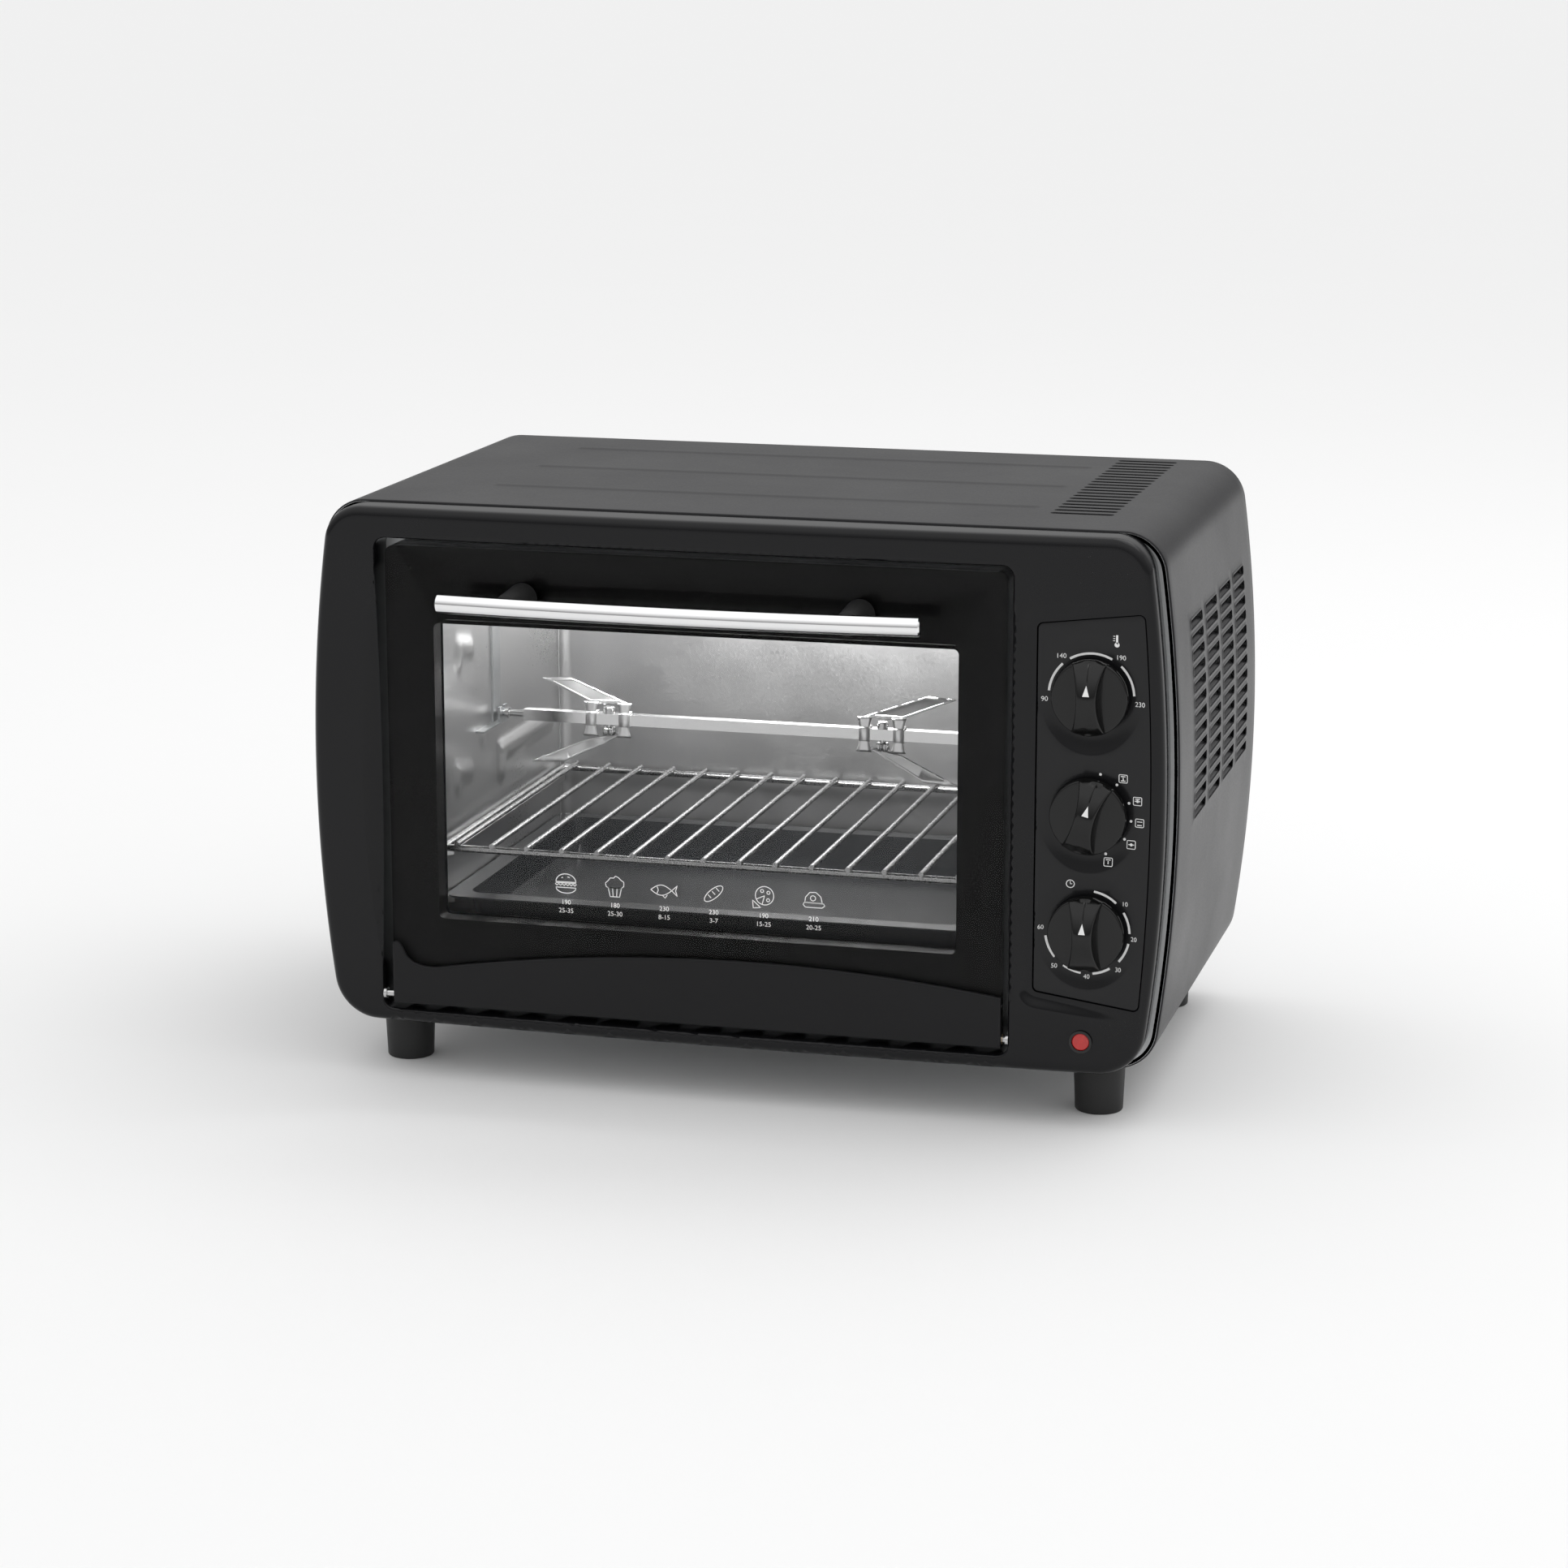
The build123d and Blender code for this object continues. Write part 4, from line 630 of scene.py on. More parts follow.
def bezel_back(points):
    """How far back each wall of the bezel runs."""
    back = np.full(len(points), BEZEL_BACK)
    back[inside(points, plate_loop(1.0))] = PLATE_Y + 3.0
    back[np.linalg.norm(points - np.array(LAMP), axis=1) < 6] = FACE + 9.0
    return back


bezel_shape = Shape()
border_walls(bezel_shape, bezel_flat, face_front(bezel_flat, bezel_faces), bezel_y(bezel_flat), bezel_back)
piece("bezel_shell", bezel_shape.verts, bezel_shape.faces, "bezel_plastic", "casing", ["front_bezel"])

# ---- control plate and its print ----
DISH_X, DISH_Z, DISH_DEPTH, DISH_RIM = 28.6, 32.1, 1.7, 0.42


def plate_y(points):
    """Front of the control plate at points (x, z)."""
    x, z = points[:, 0], points[:, 1]
    y = PLATE_Y + round_edge(distance(points, plate_loop(0.0)), 0.7)
    for middle in CONTROL_Z:
        radius = np.hypot((x - CONTROL_X) / DISH_X, (z - middle) / DISH_Z)
        y += DISH_DEPTH * np.sin(np.clip((1 - radius) / DISH_RIM, 0, 1) * math.pi / 2)
    return y


def oval(middle, share, count=72):
    return [(CONTROL_X + DISH_X * share * math.cos(a), middle + DISH_Z * share * math.sin(a))
            for a in np.linspace(0, 2 * math.pi, count, endpoint=False)]


plate_edge = plate_loop(0.0, 3.0)
loose = [p for d in (0.2, 0.45, 0.75) for p in inset_loop(plate_edge, d)]
loose += [p for z in CONTROL_Z for q in (0.2, 0.4, 0.58, 0.64, 0.7, 0.76, 0.82, 0.87, 0.92, 0.96) for p in oval(z, q)]
grid = np.stack([a.ravel() for a in np.meshgrid(np.arange(173, 232, 4.0), np.arange(70, 284, 4.0))], 1)
free = inside(grid, inset_loop(plate_edge, 2.0))
for z in CONTROL_Z:
    free &= ~inside(grid, oval(z, 1.05))
loose += [tuple(p) for p in grid[free]]
plate_flat, plate_faces = triangles(plate_edge, [], [(oval(z, 0.998), True) for z in CONTROL_Z], loose)
plate_shape = Shape()
border_walls(plate_shape, plate_flat, face_front(plate_flat, plate_faces), plate_y(plate_flat),
             lambda points: np.full(len(points), PLATE_Y + 2.0))
piece("control_panel", plate_shape.verts, plate_shape.faces, "control_plastic", "casing",
      ["control_plate"], sharp=50)


class Print:
    """Thin ink on a surface y = front(points): strokes, dots, triangles and numerals."""

    def __init__(self, front, proud=0.05):
        self.front, self.proud, self.shape = front, proud, Shape()

    def lay(self, points, faces):
        points = np.array(points, float)
        y = self.front(points) - self.proud
        self.shape.add(np.stack([points[:, 0], y, points[:, 1]], 1), faces)

    def stroke(self, points, width, closed=False, longest=1.2):
        line = np.array(subdivide(points, longest, closed))
        if closed:
            along = np.roll(line, -1, 0) - np.roll(line, 1, 0)
        else:
            along = np.gradient(line, axis=0)
        along /= np.maximum(np.linalg.norm(along, axis=1), 1e-9)[:, None]
        side = np.stack([-along[:, 1], along[:, 0]], 1) * width / 2
        count = len(line)
        faces = [(i, (i + 1) % count, count + (i + 1) % count, count + i)
                 for i in range(count if closed else count - 1)]
        self.lay(np.vstack([line - side, line + side]), faces)

    def dot(self, centre, radius):
        ring = arc_points(centre, radius, 0, 345, 24)
        self.lay([centre] + ring, [(0, 1 + i, 1 + (i + 1) % 24) for i in range(24)])

    def fill(self, points):
        flat, faces = triangles(points)
        self.lay(flat, face_front(flat, faces))

    def numerals(self, text, centre, height):
        curve = bpy.data.curves.new("numerals", "FONT")
        curve.body, curve.size, curve.align_x, curve.align_y = text, height * 1.38, "CENTER", "CENTER"
        curve.resolution_u = 4
        holder = bpy.data.objects.new("numerals", curve)
        mesh = bpy.data.meshes.new_from_object(holder)
        points = np.array([v.co[:2] for v in mesh.vertices]) + np.array(centre)
        self.lay(points, [tuple(f.vertices) for f in mesh.polygons])
        bpy.data.objects.remove(holder)
        bpy.data.curves.remove(curve)
        bpy.data.meshes.remove(mesh)


def clock(centre, radius, degrees):
    """Point at an angle clockwise from the top."""
    a = math.radians(degrees)
    return centre[0] + radius * math.sin(a), centre[1] + radius * math.cos(a)


DIAL_R, STROKE = 22.9, 1.25
dials = Print(plate_y)


def dial_arc(centre, start, end):
    dials.stroke([clock(centre, DIAL_R, a) for a in np.linspace(start, end, 24)], STROKE)


hot, mode, time = ((CONTROL_X, z) for z in CONTROL_Z)
# arcs between angles clockwise from the top, and numbers with their angle and how far out they stand
HOT_ARCS = ((-85, -43), (-31, 28), (43, 87))
HOT_NUMBERS = (("90", -96, 25.2), ("140", -38, 26.6), ("190", 36, 26.4), ("230", 97, 26.4))
TIME_ARCS = ((8, 42), (58, 88), (102, 131), (147, 172), (188, 214), (230, 262))
TIME_NUMBERS = (("10", 50, 26.3), ("20", 95, 25.4), ("30", 139, 26.0), ("40", 180, 24.6), ("50", 222, 26.4),
                ("60", 273, 25.4))
for start, end in HOT_ARCS:
    dial_arc(hot, start, end)
for text, angle, reach in HOT_NUMBERS:
    dials.numerals(text, clock(hot, reach, angle), 2.7)
bulb = (CONTROL_X + 13.4, CONTROL_Z[0] + 28.4)
dials.dot(bulb, 1.35)
dials.stroke([bulb, (bulb[0], bulb[1] + 5.2)], 1.1)
for k in range(3):
    dials.stroke([(bulb[0] - 2.1, bulb[1] + 2.2 + 1.2 * k), (bulb[0] - 1.0, bulb[1] + 2.2 + 1.2 * k)], 0.35)
dials.dot(clock(mode, 23.2, 14), 0.75)
for place, angle in enumerate((40, 70, 95, 122, 156)):
    dials.dot(clock(mode, 22.6, angle), 0.75)
    cx, cz = clock(mode, 27.4, angle + 1)
    cz += 0.3
    dials.stroke(rounded_box((cx, cz), 4.6, 4.4, 0.5, 3, 2), 0.38, closed=True)
    if place in (0, 1, 4):
        dials.stroke([(cx - 1.3, cz + 1.2), (cx + 1.3, cz + 1.2)], 0.5)
    if place in (0, 2):
        dials.stroke([(cx - 1.3, cz - 1.2), (cx + 1.3, cz - 1.2)], 0.5)
    if place in (1, 3):
        dials.stroke([(cx - 1.6, cz), (cx + 1.6, cz)], 0.45)
        dials.dot((cx, cz), 0.8)
    if place in (0, 4):
        dials.stroke([(cx, cz - 1.1), (cx, cz + 0.6)], 0.5)
    if place == 2:
        dials.stroke([(cx - 1.5, cz + 0.7), (cx + 1.5, cz + 0.7)], 0.4)
for start, end in TIME_ARCS:
    dial_arc(time, start, end)
for text, angle, reach in TIME_NUMBERS:
    dials.numerals(text, clock(time, reach, angle), 2.5)
face = (CONTROL_X - 9.5, CONTROL_Z[2] + 26.4)
dials.stroke(arc_points(face, 2.2, 0, 330, 12), 0.45, closed=True)
dials.stroke([(face[0], face[1] + 1.5), face, (face[0] + 1.0, face[1])], 0.4)
piece("dial_marks", dials.shape.verts, dials.shape.faces, "print_white", "casing")

# ---- knobs ----
GRIP_WAIST, GRIP_END, GRIP_REACH, GRIP_ROUND, DOME_R = 6.0, 9.5, 19.0, 1.3, 24.4


def grip_half(v):
    """Half width of the grip at v along it."""
    return GRIP_WAIST + (GRIP_END - GRIP_WAIST) * (v / GRIP_REACH) ** 2


def knob_height(points):
    """Height of a knob over its back at points (u, v), v towards the pointer."""
    u, v = points[:, 0], points[:, 1]
    rim = KNOB_R - np.hypot(u, v)
    skirt = KNOB_SKIRT + 0.5 - round_edge(rim, 1.0)
    dome = KNOB_TOP - DOME_R + np.sqrt(DOME_R**2 - v**2)
    dome -= 0.5 * np.exp(-((u / 3.4) ** 2)) * np.clip(np.abs(v) / 12, 0, 1)
    dome -= 0.35 * (np.abs(u) < 0.05) * (v > 9.0)
    depth = np.clip((grip_half(v) - np.abs(u)) / GRIP_ROUND, 0, 1)
    wall = np.sqrt(np.maximum(1 - (1 - depth) ** 2, 0))
    height = skirt + np.maximum(dome - skirt, 0) * wall
    return np.where(rim < 1e-3, skirt, height)


def on_shaft(verts, z, degrees):
    """Points of an upright knob at the origin, turned clockwise and moved to the shaft at height z."""
    a = math.radians(degrees)
    return [(CONTROL_X + u * math.cos(a) + v * math.sin(a), y, z - u * math.sin(a) + v * math.cos(a))
            for u, y, v in verts]


knob_loop = arc_points((0, 0), KNOB_R, 0, 357.5, 144)
reach = np.linspace(-18.3, 18.3, 44)
grip_lines = [([(side * grip_half(v), v) for v in reach], False) for side in (-1, 1)]
grip_lines += [([(u, v) for v in np.linspace(8.8, 19.2, 12)], False) for u in (-0.3, 0.0, 0.3)]
loose = [p for d in (0.2, 0.5, 1.0) for p in arc_points((0, 0), KNOB_R - d, 1, 358.5, 144)]
loose += [(side * (grip_half(v) - d), v)
          for side in (-1, 1) for d in (0.08, 0.25, 0.5, 0.85, 1.3, 2.2) for v in reach]
loose += [(u, v) for u in (-2.4, -1.2, 1.2, 2.4) for v in reach]
loose += [(0.0, v) for v in np.linspace(-18, 8, 22)]
loose += [(side * u, v) for side in (-1, 1) for u in (9, 11, 13, 15, 17) for v in np.arange(-15, 16, 2.0)
          if math.hypot(u, v) < KNOB_R - 1.6 and u > grip_half(v) + 0.8]
knob_flat, knob_faces = triangles(knob_loop, [], grip_lines, loose)
knob_faces = face_front(knob_flat, knob_faces)
for name, z, turn in zip(("temperature", "selector", "timer"), CONTROL_Z, (0.0, SELECTOR_REST, 0.0)):
    shape = Shape()
    border_walls(shape, knob_flat, knob_faces, KNOB_BACK - knob_height(knob_flat), lambda p: np.full(len(p), KNOB_BACK))
    piece(name + "_grip", on_shaft(shape.verts, z, turn), shape.faces, "knob_plastic", name + "_knob",
          [name + "_knob"], sharp=60)
    mark = Print(lambda p: KNOB_BACK - knob_height(p), 0.06)
    mark.fill(subdivide([(-1.85, 2.9), (1.85, 2.9), (0.0, 8.6)], 0.8))
    piece(name + "_pointer", on_shaft(mark.shape.verts, z, turn), mark.shape.faces, "print_white", name + "_knob")

# ---- door trim and the print on the glass ----
DOOR_BOTTOM, GLASS_FRONT, GLASS_BOTTOM, TRIM_TIP = 43.3, FACE + 1.7, 62.0, 79.0
wave_x = np.linspace(DOOR_L + 25, DOOR_R, 40)
crest = np.polyfit([DOOR_L + 25, 5.0, DOOR_R], [TRIM_TIP - 13.7, 81.5, 71.7], 2)
trim_loop = subdivide([(DOOR_L, DOOR_BOTTOM), (DOOR_R, DOOR_BOTTOM)], 5, False)
trim_loop += [(x, float(np.polyval(crest, x))) for x in wave_x[::-1]]
HORN = ((18, 13.2), (12, 11.4), (8.4, 8.2), (6.0, 3.4), (4.2, 0.6), (2, 0), (0, 0.8))  # the upturned left end
trim_loop += [(DOOR_L + across, TRIM_TIP - down) for across, down in HORN]
trim_loop = subdivide(trim_loop, 3.0)
loose = [tuple(p) for d in (0.15, 0.4, 0.8, 1.2) for p in inset_loop(trim_loop, d)]
grid = np.stack([a.ravel() for a in np.meshgrid(np.arange(DOOR_L, DOOR_R, 6.0), np.arange(DOOR_BOTTOM, 84, 4.0))], 1)
loose += [tuple(p) for p in grid[inside(grid, inset_loop(trim_loop, 2.6))]]
trim_flat, trim_faces = triangles(trim_loop, [], [], loose)
trim_y = FACE + round_edge(distance(trim_flat, trim_loop), 1.0)
shape = Shape()
border_walls(shape, trim_flat, face_front(trim_flat, trim_faces), trim_y,
             lambda p: np.where(p[:, 1] > GLASS_BOTTOM, GLASS_FRONT - 0.05, FACE + 2.2))
piece("trim_panel", shape.verts, shape.faces, "door_trim_satin", "door", ["door_trim"], sharp=50)

ICON_Z, ICON_PITCH, ICON_X = 118.6, 28.3, -91.6
pictures = Print(lambda p: np.full(len(p), GLASS_FRONT), 0.05)


def sketch(index, *strokes, width=0.5):
    """Strokes of one food picture, in millimetres round its middle."""
    for closed, points in strokes:
        moved = [(ICON_X + index * ICON_PITCH + x, ICON_Z + z) for x, z in points]
        pictures.stroke(moved, width, closed)


def half_round(width, height, base, flip=1):
    return [(width * math.cos(a), base + flip * height * math.sin(a)) for a in np.linspace(0, math.pi, 12)]


sketch(0, (True, half_round(5.8, 4.6, 1.0)), (True, half_round(5.8, 3.2, -2.2, -1)),
       (False, [(-6.2 + k * 1.03, -0.6 + 0.55 * (-1) ** k) for k in range(13)]), (False, [(-5.8, 0.4), (5.8, 0.4)]),
       (False, [(-2.6, 3.2), (-1.6, 3.6)]), (False, [(1.0, 3.9), (2.2, 3.6)]))
sketch(1, (True, [(-3.8, -0.6), (-2.7, -5.6), (2.7, -5.6), (3.8, -0.6)]), (False, [(-1.3, -0.8), (-1.0, -5.4)]),
       (False, [(1.3, -0.8), (1.0, -5.4)]),
       (True, [(-5.0, 0.0), (-5.4, 2.0), (-3.8, 3.4), (-2.6, 5.0), (-0.6, 5.0), (0.4, 6.2), (2.2, 5.4), (3.6, 4.0),
               (5.2, 3.0), (5.2, 0.6), (3.8, -0.6), (-3.8, -0.6)]))
fish_back, fish_belly = ([(-7.6 + 12.0 * t, side * 2.9 * math.sin(math.pi * t)) for t in np.linspace(0, 1, 14)]
                         for side in (1, -1))
sketch(2, (False, fish_back + [(7.6, -3.0)]), (False, fish_belly + [(7.6, 3.0), (6.6, 0.0), (7.6, -3.0)]),
       (False, [(-4.0, 1.9), (-3.3, 0.0), (-4.0, -1.9)]), (False, [(-1.0, -2.8), (0.6, -4.4), (1.8, -2.6)]))
loaf = [(6.6 * math.cos(a) * 0.76 - 2.5 * math.sin(a) * 0.65, 6.6 * math.cos(a) * 0.65 + 2.5 * math.sin(a) * 0.76)
        for a in np.linspace(0, 2 * math.pi, 28, endpoint=False)]
sketch(3, (True, loaf),
       *[(False, [(k * 2.3 - 0.9, k * 2.0 + 1.3), (k * 2.3 + 0.9, k * 2.0 - 0.5)]) for k in (-1, 0, 1)])
sketch(4, (True, arc_points((0.6, 0.8), 5.2, 0, 345, 24)),
       (False, [(0.6, 0.8), (-4.2, -1.4)]), (False, [(0.6, 0.8), (-0.8, -4.2)]),
       (True, arc_points((2.8, 2.6), 0.9, 0, 315, 8)), (True, arc_points((-0.8, 3.4), 0.9, 0, 315, 8)),
       (True, arc_points((2.6, -1.6), 0.9, 0, 315, 8)), (True, [(-6.2, -2.0), (-1.6, -6.0), (-5.8, -6.4)]))
sketch(5, (True, [(-6.0, -2.6), (-4.6, -4.0), (4.6, -4.0), (6.2, -2.8), (5.6, -1.6), (-5.4, -1.4)]),
       (True, [(-5.0, -1.2), (-4.6, 1.6), (-2.2, 4.4), (1.2, 4.6), (4.0, 2.2), (4.8, -1.4)]),
       (True, arc_points((-0.4, 1.2), 1.5, 0, 315, 8)))
COOKING = (("190", "25-35"), ("180", "25-30"), ("230", "8-15"), ("230", "3-7"), ("190", "15-25"), ("210", "20-25"))
for k, (heat, minutes) in enumerate(COOKING):
    pictures.numerals(heat, (ICON_X + k * ICON_PITCH, ICON_Z - 10.6), 2.7)
    pictures.numerals(minutes, (ICON_X + k * ICON_PITCH, ICON_Z - 15.4), 2.7)
piece("glass_print", pictures.shape.verts, pictures.shape.faces, "print_white", "door")

# ---- cavity ----
CAVITY_L, CAVITY_R, CAVITY_BACK = back_span[0][0], back_span[1][0], back_span[1][1]
CAVITY_FLOOR, CAVITY_ROOF, CAVITY_FRONT = back_span[0][2], back_span[1][2], span("cavity_floor")[0][1]
SPIT_Y, SPIT_Z = spit_centre[1], spit_centre[2]
LEDGES = ((125.6, 5.5), (98.0, 5.5))  # top of each runner and how far it stands in
LEDGE_BENDS = (-5.2, -5.0, -4.8, -4.6, -4.4, -4.2, -4.0, -0.9, -0.7, -0.5, -0.3, -0.1, 0.1)  # mesh rows from its top
HEATER_YS = (centre_of("upper_heater_front")[1], centre_of("upper_heater_rear")[1])
HEATER_ZS = (centre_of("upper_heater_front")[2], centre_of("lower_heater_front")[2])
INSULATOR_R = 6.5
RIB = ((SPIT_Y + 8.5, 162.0), (SPIT_Y + 100.0, 162.0))
RIB_DROP, PRESS_HALF, PRESS_OUT = 15.0, 6.5, 2.6
# lines of (y, z) along the soft lugs near the front, and the middle of the boss under the spit
LUGS = (((-66.0, 227.0), (-65.0, 236.0), (-46.0, 232.0)), ((-72.0, 157.0), (-70.0, 164.0), (-50.0, 161.0)))
BOSS = (SPIT_Y - 23.0, SPIT_Z - 10.5)


def band(z, low, high, soft):
    """1 between two heights, 0 outside, with a soft bend at each."""
    return ease(z, low - soft / 2, low + soft / 2) * (1 - ease(z, high - soft / 2, high + soft / 2))


def wall_in(points):
    """How far the wall is pressed into the cavity at points (y, z)."""
    y, z = points[:, 0], points[:, 1]
    lift = np.zeros(len(points))
    ends = ease(y, CAVITY_FRONT + 11.0, CAVITY_FRONT + 15.0) * (1 - ease(y, CAVITY_BACK - 14.0, CAVITY_BACK - 7.0))
    for top, reach in LEDGES:
        lift += reach * band(z, top - 4.6, top - 0.4, 0.8) * ends
    line = [RIB[1], RIB[0], (RIB[0][0], RIB[0][1] - RIB_DROP)]
    d = distance(points, line, False)
    fade = 1 - ease(y, CAVITY_BACK - 24.0, CAVITY_BACK - 8.0)
    lift += PRESS_OUT * (1 - ease(d, PRESS_HALF - 3.2, PRESS_HALF)) * fade
    for line in LUGS:
        lift += 1.5 * (1 - ease(distance(points, list(line), False), 1.5, 7.5))
    d = np.hypot(y - BOSS[0], z - BOSS[1])
    return lift + 1.2 * (1 - ease(d, 2.5, 5.5))


rows = np.unique(np.concatenate([np.arange(CAVITY_FLOOR, CAVITY_ROOF + 0.1, 3.2)] +
                                [top + np.array(LEDGE_BENDS) for top, _ in LEDGES]))
columns = np.arange(CAVITY_FRONT, CAVITY_BACK + 0.1, 2.8)
wall_grid = np.stack([a.ravel() for a in np.meshgrid(columns, rows)], 1)
wall_loop = subdivide([(columns[0], rows[0]), (columns[-1], rows[0]), (columns[-1], rows[-1]), (columns[0], rows[-1])],
                      6)
for side, name in ((1, "cavity_left_wall"), (-1, "cavity_right_wall")):
    holes = [arc_points((y, z), INSULATOR_R, 0, 345, 24) for y in HEATER_YS for z in HEATER_ZS]
    if side < 0:
        holes.append(arc_points((SPIT_Y, SPIT_Z), 5.0, 0, 345, 24))
    free = np.ones(len(wall_grid), bool)
    for hole in holes:
        free &= np.linalg.norm(wall_grid - np.mean(hole, axis=0), axis=1) > INSULATOR_R + 1
    wall_flat, wall_faces = triangles(wall_loop, holes, [], [tuple(p) for p in wall_grid[free]])
    x = (CAVITY_L if side > 0 else CAVITY_R) + side * wall_in(wall_flat)
    points = np.stack([x, wall_flat[:, 0], wall_flat[:, 1]], 1)
    piece(name.replace("cavity", "pressed"), points, faced(points, wall_faces, (side, 0, 0)), "cavity_steel", "casing",
          [name], sharp=40, thickness=0.6)

CORNER_BEND = 6.0
bend = [(CAVITY_L + 0.3 + CORNER_BEND * (1 - math.sin(a)), CAVITY_BACK - 0.8 - CORNER_BEND * (1 - math.cos(a)))
        for a in np.radians(np.linspace(90, 0, 9))]
back_line = bend + [(x, CAVITY_BACK - 0.8) for x in np.linspace(CAVITY_L + 12, CAVITY_R - 12, 30)]
back_line += [(CAVITY_L + CAVITY_R - x, y) for x, y in bend[::-1]]
shape = Shape()
shape.grid([[(x, y, z) for x, y in back_line] for z in np.linspace(CAVITY_FLOOR + 0.3, CAVITY_ROOF - 0.3, 40)])
piece("cavity_back_sheet", shape.verts, shape.faces, "cavity_spangle", "casing", ["cavity_back"],
      thickness=0.5)

# ---- forks on the spit ----
UPPER_BLADE = ((-10.0, 8.8), (11.9, 9.5), (-25.0, 22.1), (-42.0, 21.0))  # across and up from the rod
LOWER_BLADE = ((-10.7, -11.5), (-45.0, -26.0), (-25.8, -25.3), (11.0, -7.4))
CHEEK_X, CHEEK_TOP, BLADE_TILT, BLADE_SUNK = 10.0, 10.0, 0.45, 0.5


def shrink(loop, share):
    """The loop drawn in towards its middle."""
    middle = np.mean(loop, axis=0)
    return [tuple(middle + (np.array(p) - middle) * share) for p in loop]


def fork_piece(name, middle, side, node):
    """Stamped fork: two blades with a sunk middle, hourglass cheeks and square sleeves on the rod."""
    shape = Shape()
    for corners in (UPPER_BLADE, LOWER_BLADE):
        loop = subdivide(corners, 2.5)
        rim, well = shrink(loop, 0.80), shrink(loop, 0.72)
        flat, faces = triangles(loop, [], [(rim, True), (well, True)], [])
        sunk = np.array([BLADE_SUNK if inside(np.array([p]), shrink(loop, 0.76))[0] else 0.0 for p in flat])
        start = flat[:, 1] - np.sign(corners[0][1]) * CHEEK_TOP
        points = np.stack([middle - side * flat[:, 0], SPIT_Y + start * BLADE_TILT + sunk, SPIT_Z + flat[:, 1]], 1)
        shape.add(points, faced(points, faces, (0, -1, 0)))
    for x in (-CHEEK_X, CHEEK_X):
        rows = []
        for z in np.linspace(-CHEEK_TOP, CHEEK_TOP, 13):
            half = 2.6 + 1.8 * (abs(z) / CHEEK_TOP) ** 2
            rows.append([(middle + x + dx, SPIT_Y + z * 0.1 - 3.6, SPIT_Z + z) for dx in np.linspace(-half, half, 4)])
        shape.grid(rows)
        ring = rounded_box((0, 0), 8.4, 8.4, 0.8, 3, 2)
        shape.grid([[(middle + x + dx, SPIT_Y + y, SPIT_Z + z) for y, z in ring] for dx in (-3.0, 3.0)], closed=True)
    piece(name, shape.verts, shape.faces, "fork_steel", "spit", [node], sharp=30, thickness=-0.8)


def turned(x, levels, count, flute=0.0):
    """Rows of a form turned about an upright line through the rod at x.

    Levels are (radius, height over the rod's middle), with flutes of that depth where the radius is over 3."""
    rows = []
    for radius, height in levels:
        row = []
        for k in range(count):
            a = 2 * math.pi * k / count
            r = radius - flute * (k % 2) * (radius > 3)
            row.append((x + r * math.cos(a), SPIT_Y + r * math.sin(a), SPIT_Z + height))
        rows.append(row)
    return rows


screws_span = span("fork_screws")
SCREW_HEAD_R = 4.2
SCREW_HEAD = ((1.9, -3.2), (1.9, -5.0), (3.2, -5.1), (3.9, -5.6), (4.1, -7.0), (4.0, -8.6), (3.4, -9.7), (0.2, -10.0))
SCREW_NUT = ((0.2, 7.2), (2.8, 7.1), (3.2, 6.6), (3.2, 3.2))
fork_middles = (screws_span[0][0] + SCREW_HEAD_R, screws_span[1][0] - SCREW_HEAD_R)
fork_piece("left_fork", fork_middles[0], -1, "fork_left")
fork_piece("right_fork", fork_middles[1], 1, "fork_right")
shape = Shape()
for x in fork_middles:
    shape.grid(turned(x, SCREW_HEAD, 36, flute=0.35), closed=True)
    shape.grid(turned(x, SCREW_NUT, 28), closed=True)
piece("fork_thumb_screws", shape.verts, shape.faces, "screw_steel", "spit", ["fork_screws"])

# ---- camera, light and floor ----
CAMERA_AT, CAMERA_YAW, CAMERA_PITCH, CAMERA_LENS = (0.5741, -2.1303, 0.6571), 15.12, 12.89, 90.34
camera = bpy.data.objects.new("camera", bpy.data.cameras.new("camera"))
camera.data.lens, camera.data.sensor_width = CAMERA_LENS, 36.0
camera.location = CAMERA_AT
camera.rotation_euler = (math.radians(90 - CAMERA_PITCH), 0, math.radians(CAMERA_YAW))
camera.data.clip_start, camera.data.clip_end = 0.05, 60
bpy.context.scene.collection.objects.link(camera)
bpy.context.scene.camera = camera
bpy.context.scene.view_settings.view_transform = "Standard"


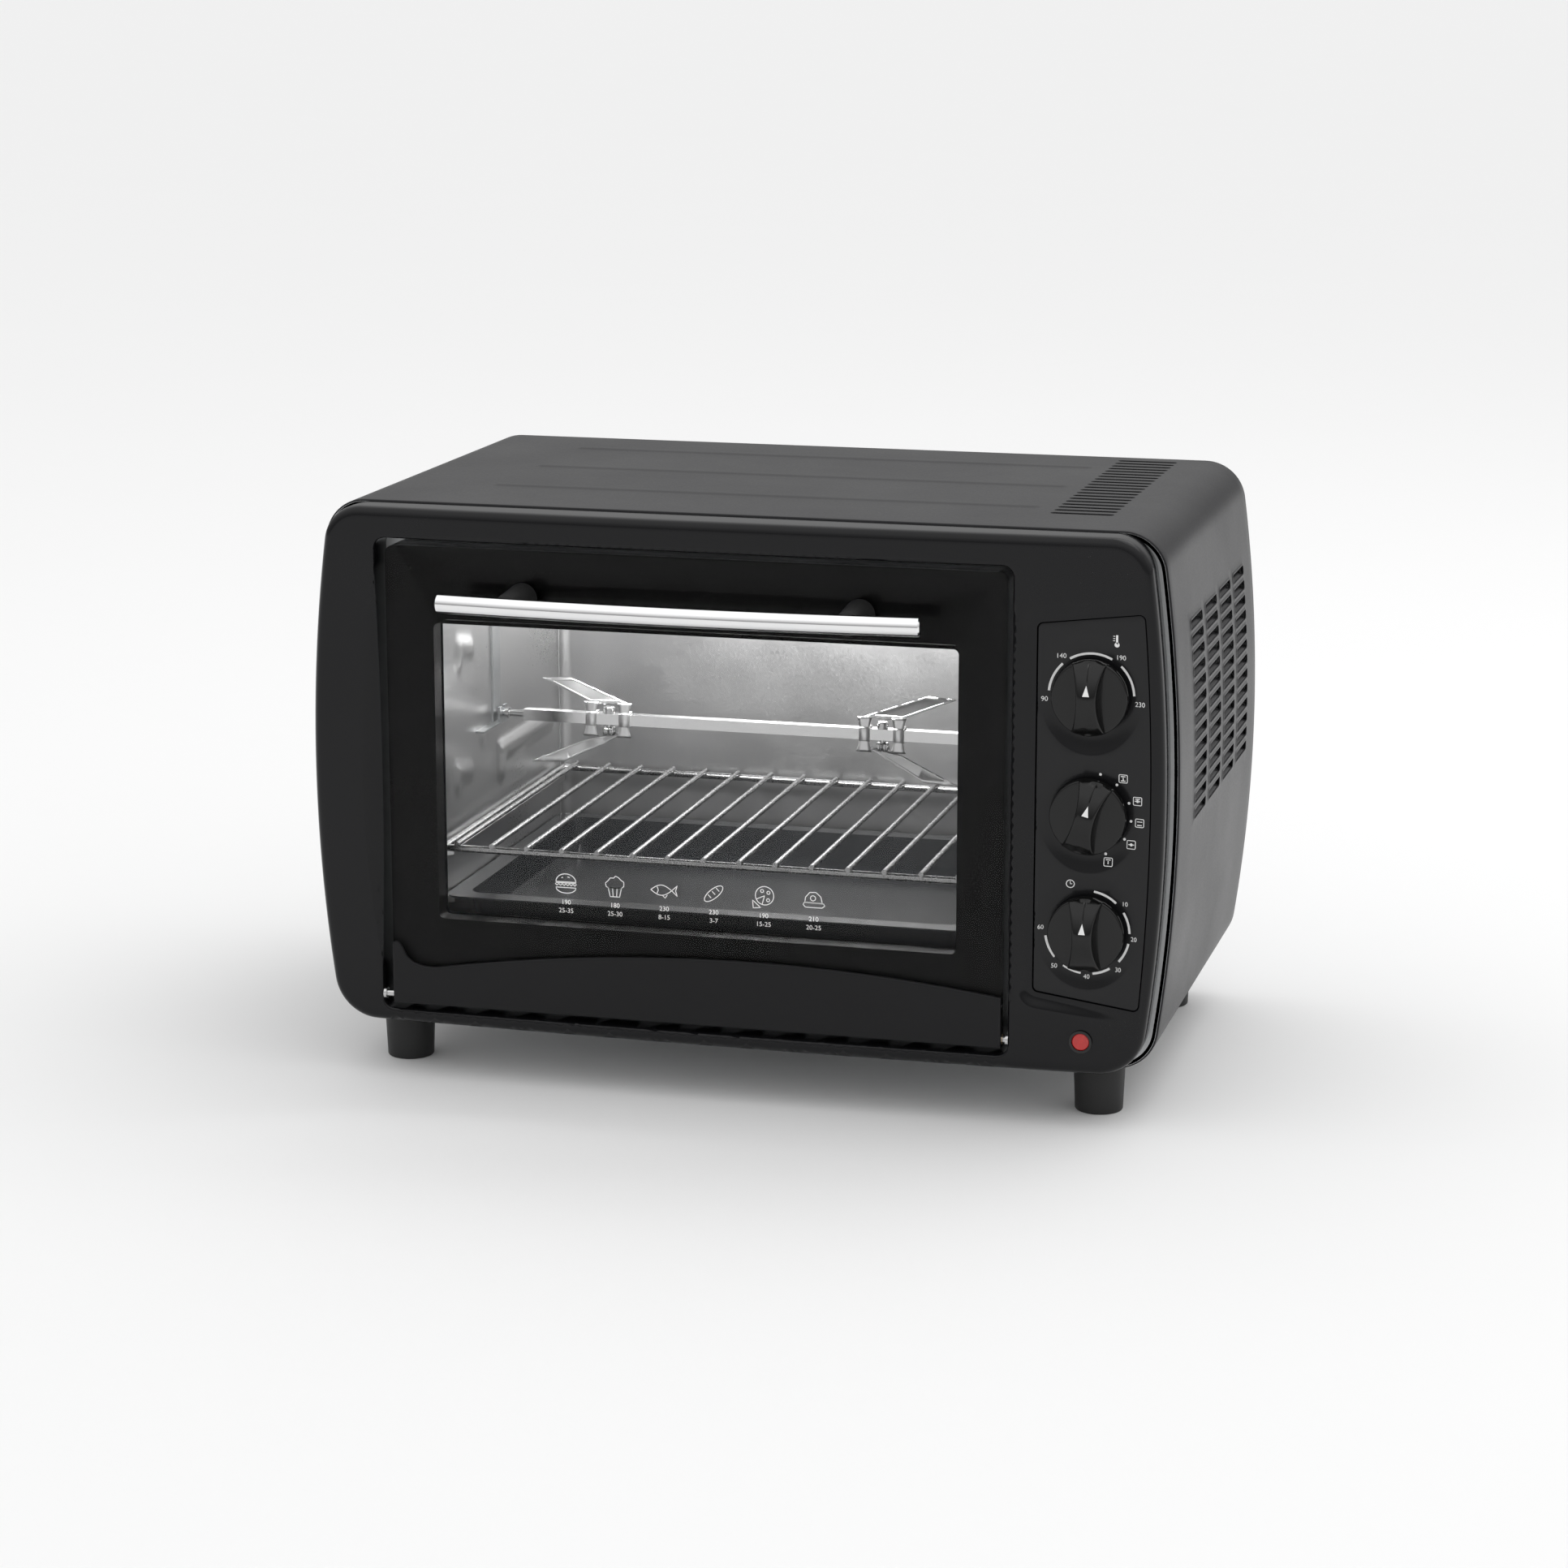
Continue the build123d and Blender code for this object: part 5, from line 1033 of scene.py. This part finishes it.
def soft_light(name, at, aim, size, power):
    """Rectangular area light at a point, turned to another; metres and watts."""
    light = bpy.data.lights.new(name, "AREA")
    light.shape, light.size, light.size_y, light.energy = "RECTANGLE", size[0], size[1], power
    lamp = bpy.data.objects.new(name, light)
    lamp.location = at
    lamp.rotation_euler = (Vector(aim) - Vector(at)).to_track_quat("-Z", "Y").to_euler()
    lamp.visible_camera = False
    bpy.context.scene.collection.objects.link(lamp)


soft_light("key", (0.9, 0.6, 2.4), (0, 0, 0.1), (2.2, 1.6), 13)
soft_light("side", (2.6, 0.2, 0.9), (0.1, 0, 0.2), (1.4, 1.6), 1.5)
soft_light("cavity_glow", (-0.02, 0.0, 0.27), (-0.05, 0.11, 0.17), (0.22, 0.04), 0.95)

world = bpy.data.worlds.new("studio")
bpy.context.scene.world = world
world.use_nodes = True
sky = world.node_tree
backdrop = sky.nodes["Background"]
put(backdrop, Color=(1, 1, 1, 1))
# an even white room, which gloss sees darker at eye level than overhead
FILL, GLOSS_LOW, GLOSS_HIGH = 0.98, 0.30, 1.25
where, split, path = (sky.nodes.new("ShaderNode" + kind) for kind in ("TexCoord", "SeparateXYZ", "LightPath"))
rise, choose = sky.nodes.new("ShaderNodeMapRange"), sky.nodes.new("ShaderNodeMix")
put(rise, From_Min=0.05, From_Max=0.75, To_Min=GLOSS_LOW, To_Max=GLOSS_HIGH)
put(choose, A=FILL)
sky.links.new(where.outputs["Generated"], split.inputs["Vector"])
sky.links.new(split.outputs["Z"], rise.inputs["Value"])
sky.links.new(rise.outputs["Result"], choose.inputs["B"])
sky.links.new(path.outputs["Is Glossy Ray"], choose.inputs["Factor"])
sky.links.new(choose.outputs["Result"], backdrop.inputs["Strength"])

FLOOR_REACH = 40.0  # metres
floor_shape = Shape()
floor_shape.grid([[(x, y, 0.0) for x in (-FLOOR_REACH, FLOOR_REACH)] for y in (-FLOOR_REACH, FLOOR_REACH)])
floor_mesh = bpy.data.meshes.new("floor")
floor_mesh.from_pydata(floor_shape.verts, [], floor_shape.faces)
floor_mesh.shade_smooth()
floor = bpy.data.objects.new("floor", floor_mesh)
floor_mesh.materials.append(finish_of("studio_floor", grey(0.885), grey(0.895), (0.75, 0.85), 3, 40, 0.02, 0.1,
                                      specular(0.05)))
bpy.context.scene.collection.objects.link(floor)
floor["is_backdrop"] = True

low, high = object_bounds()
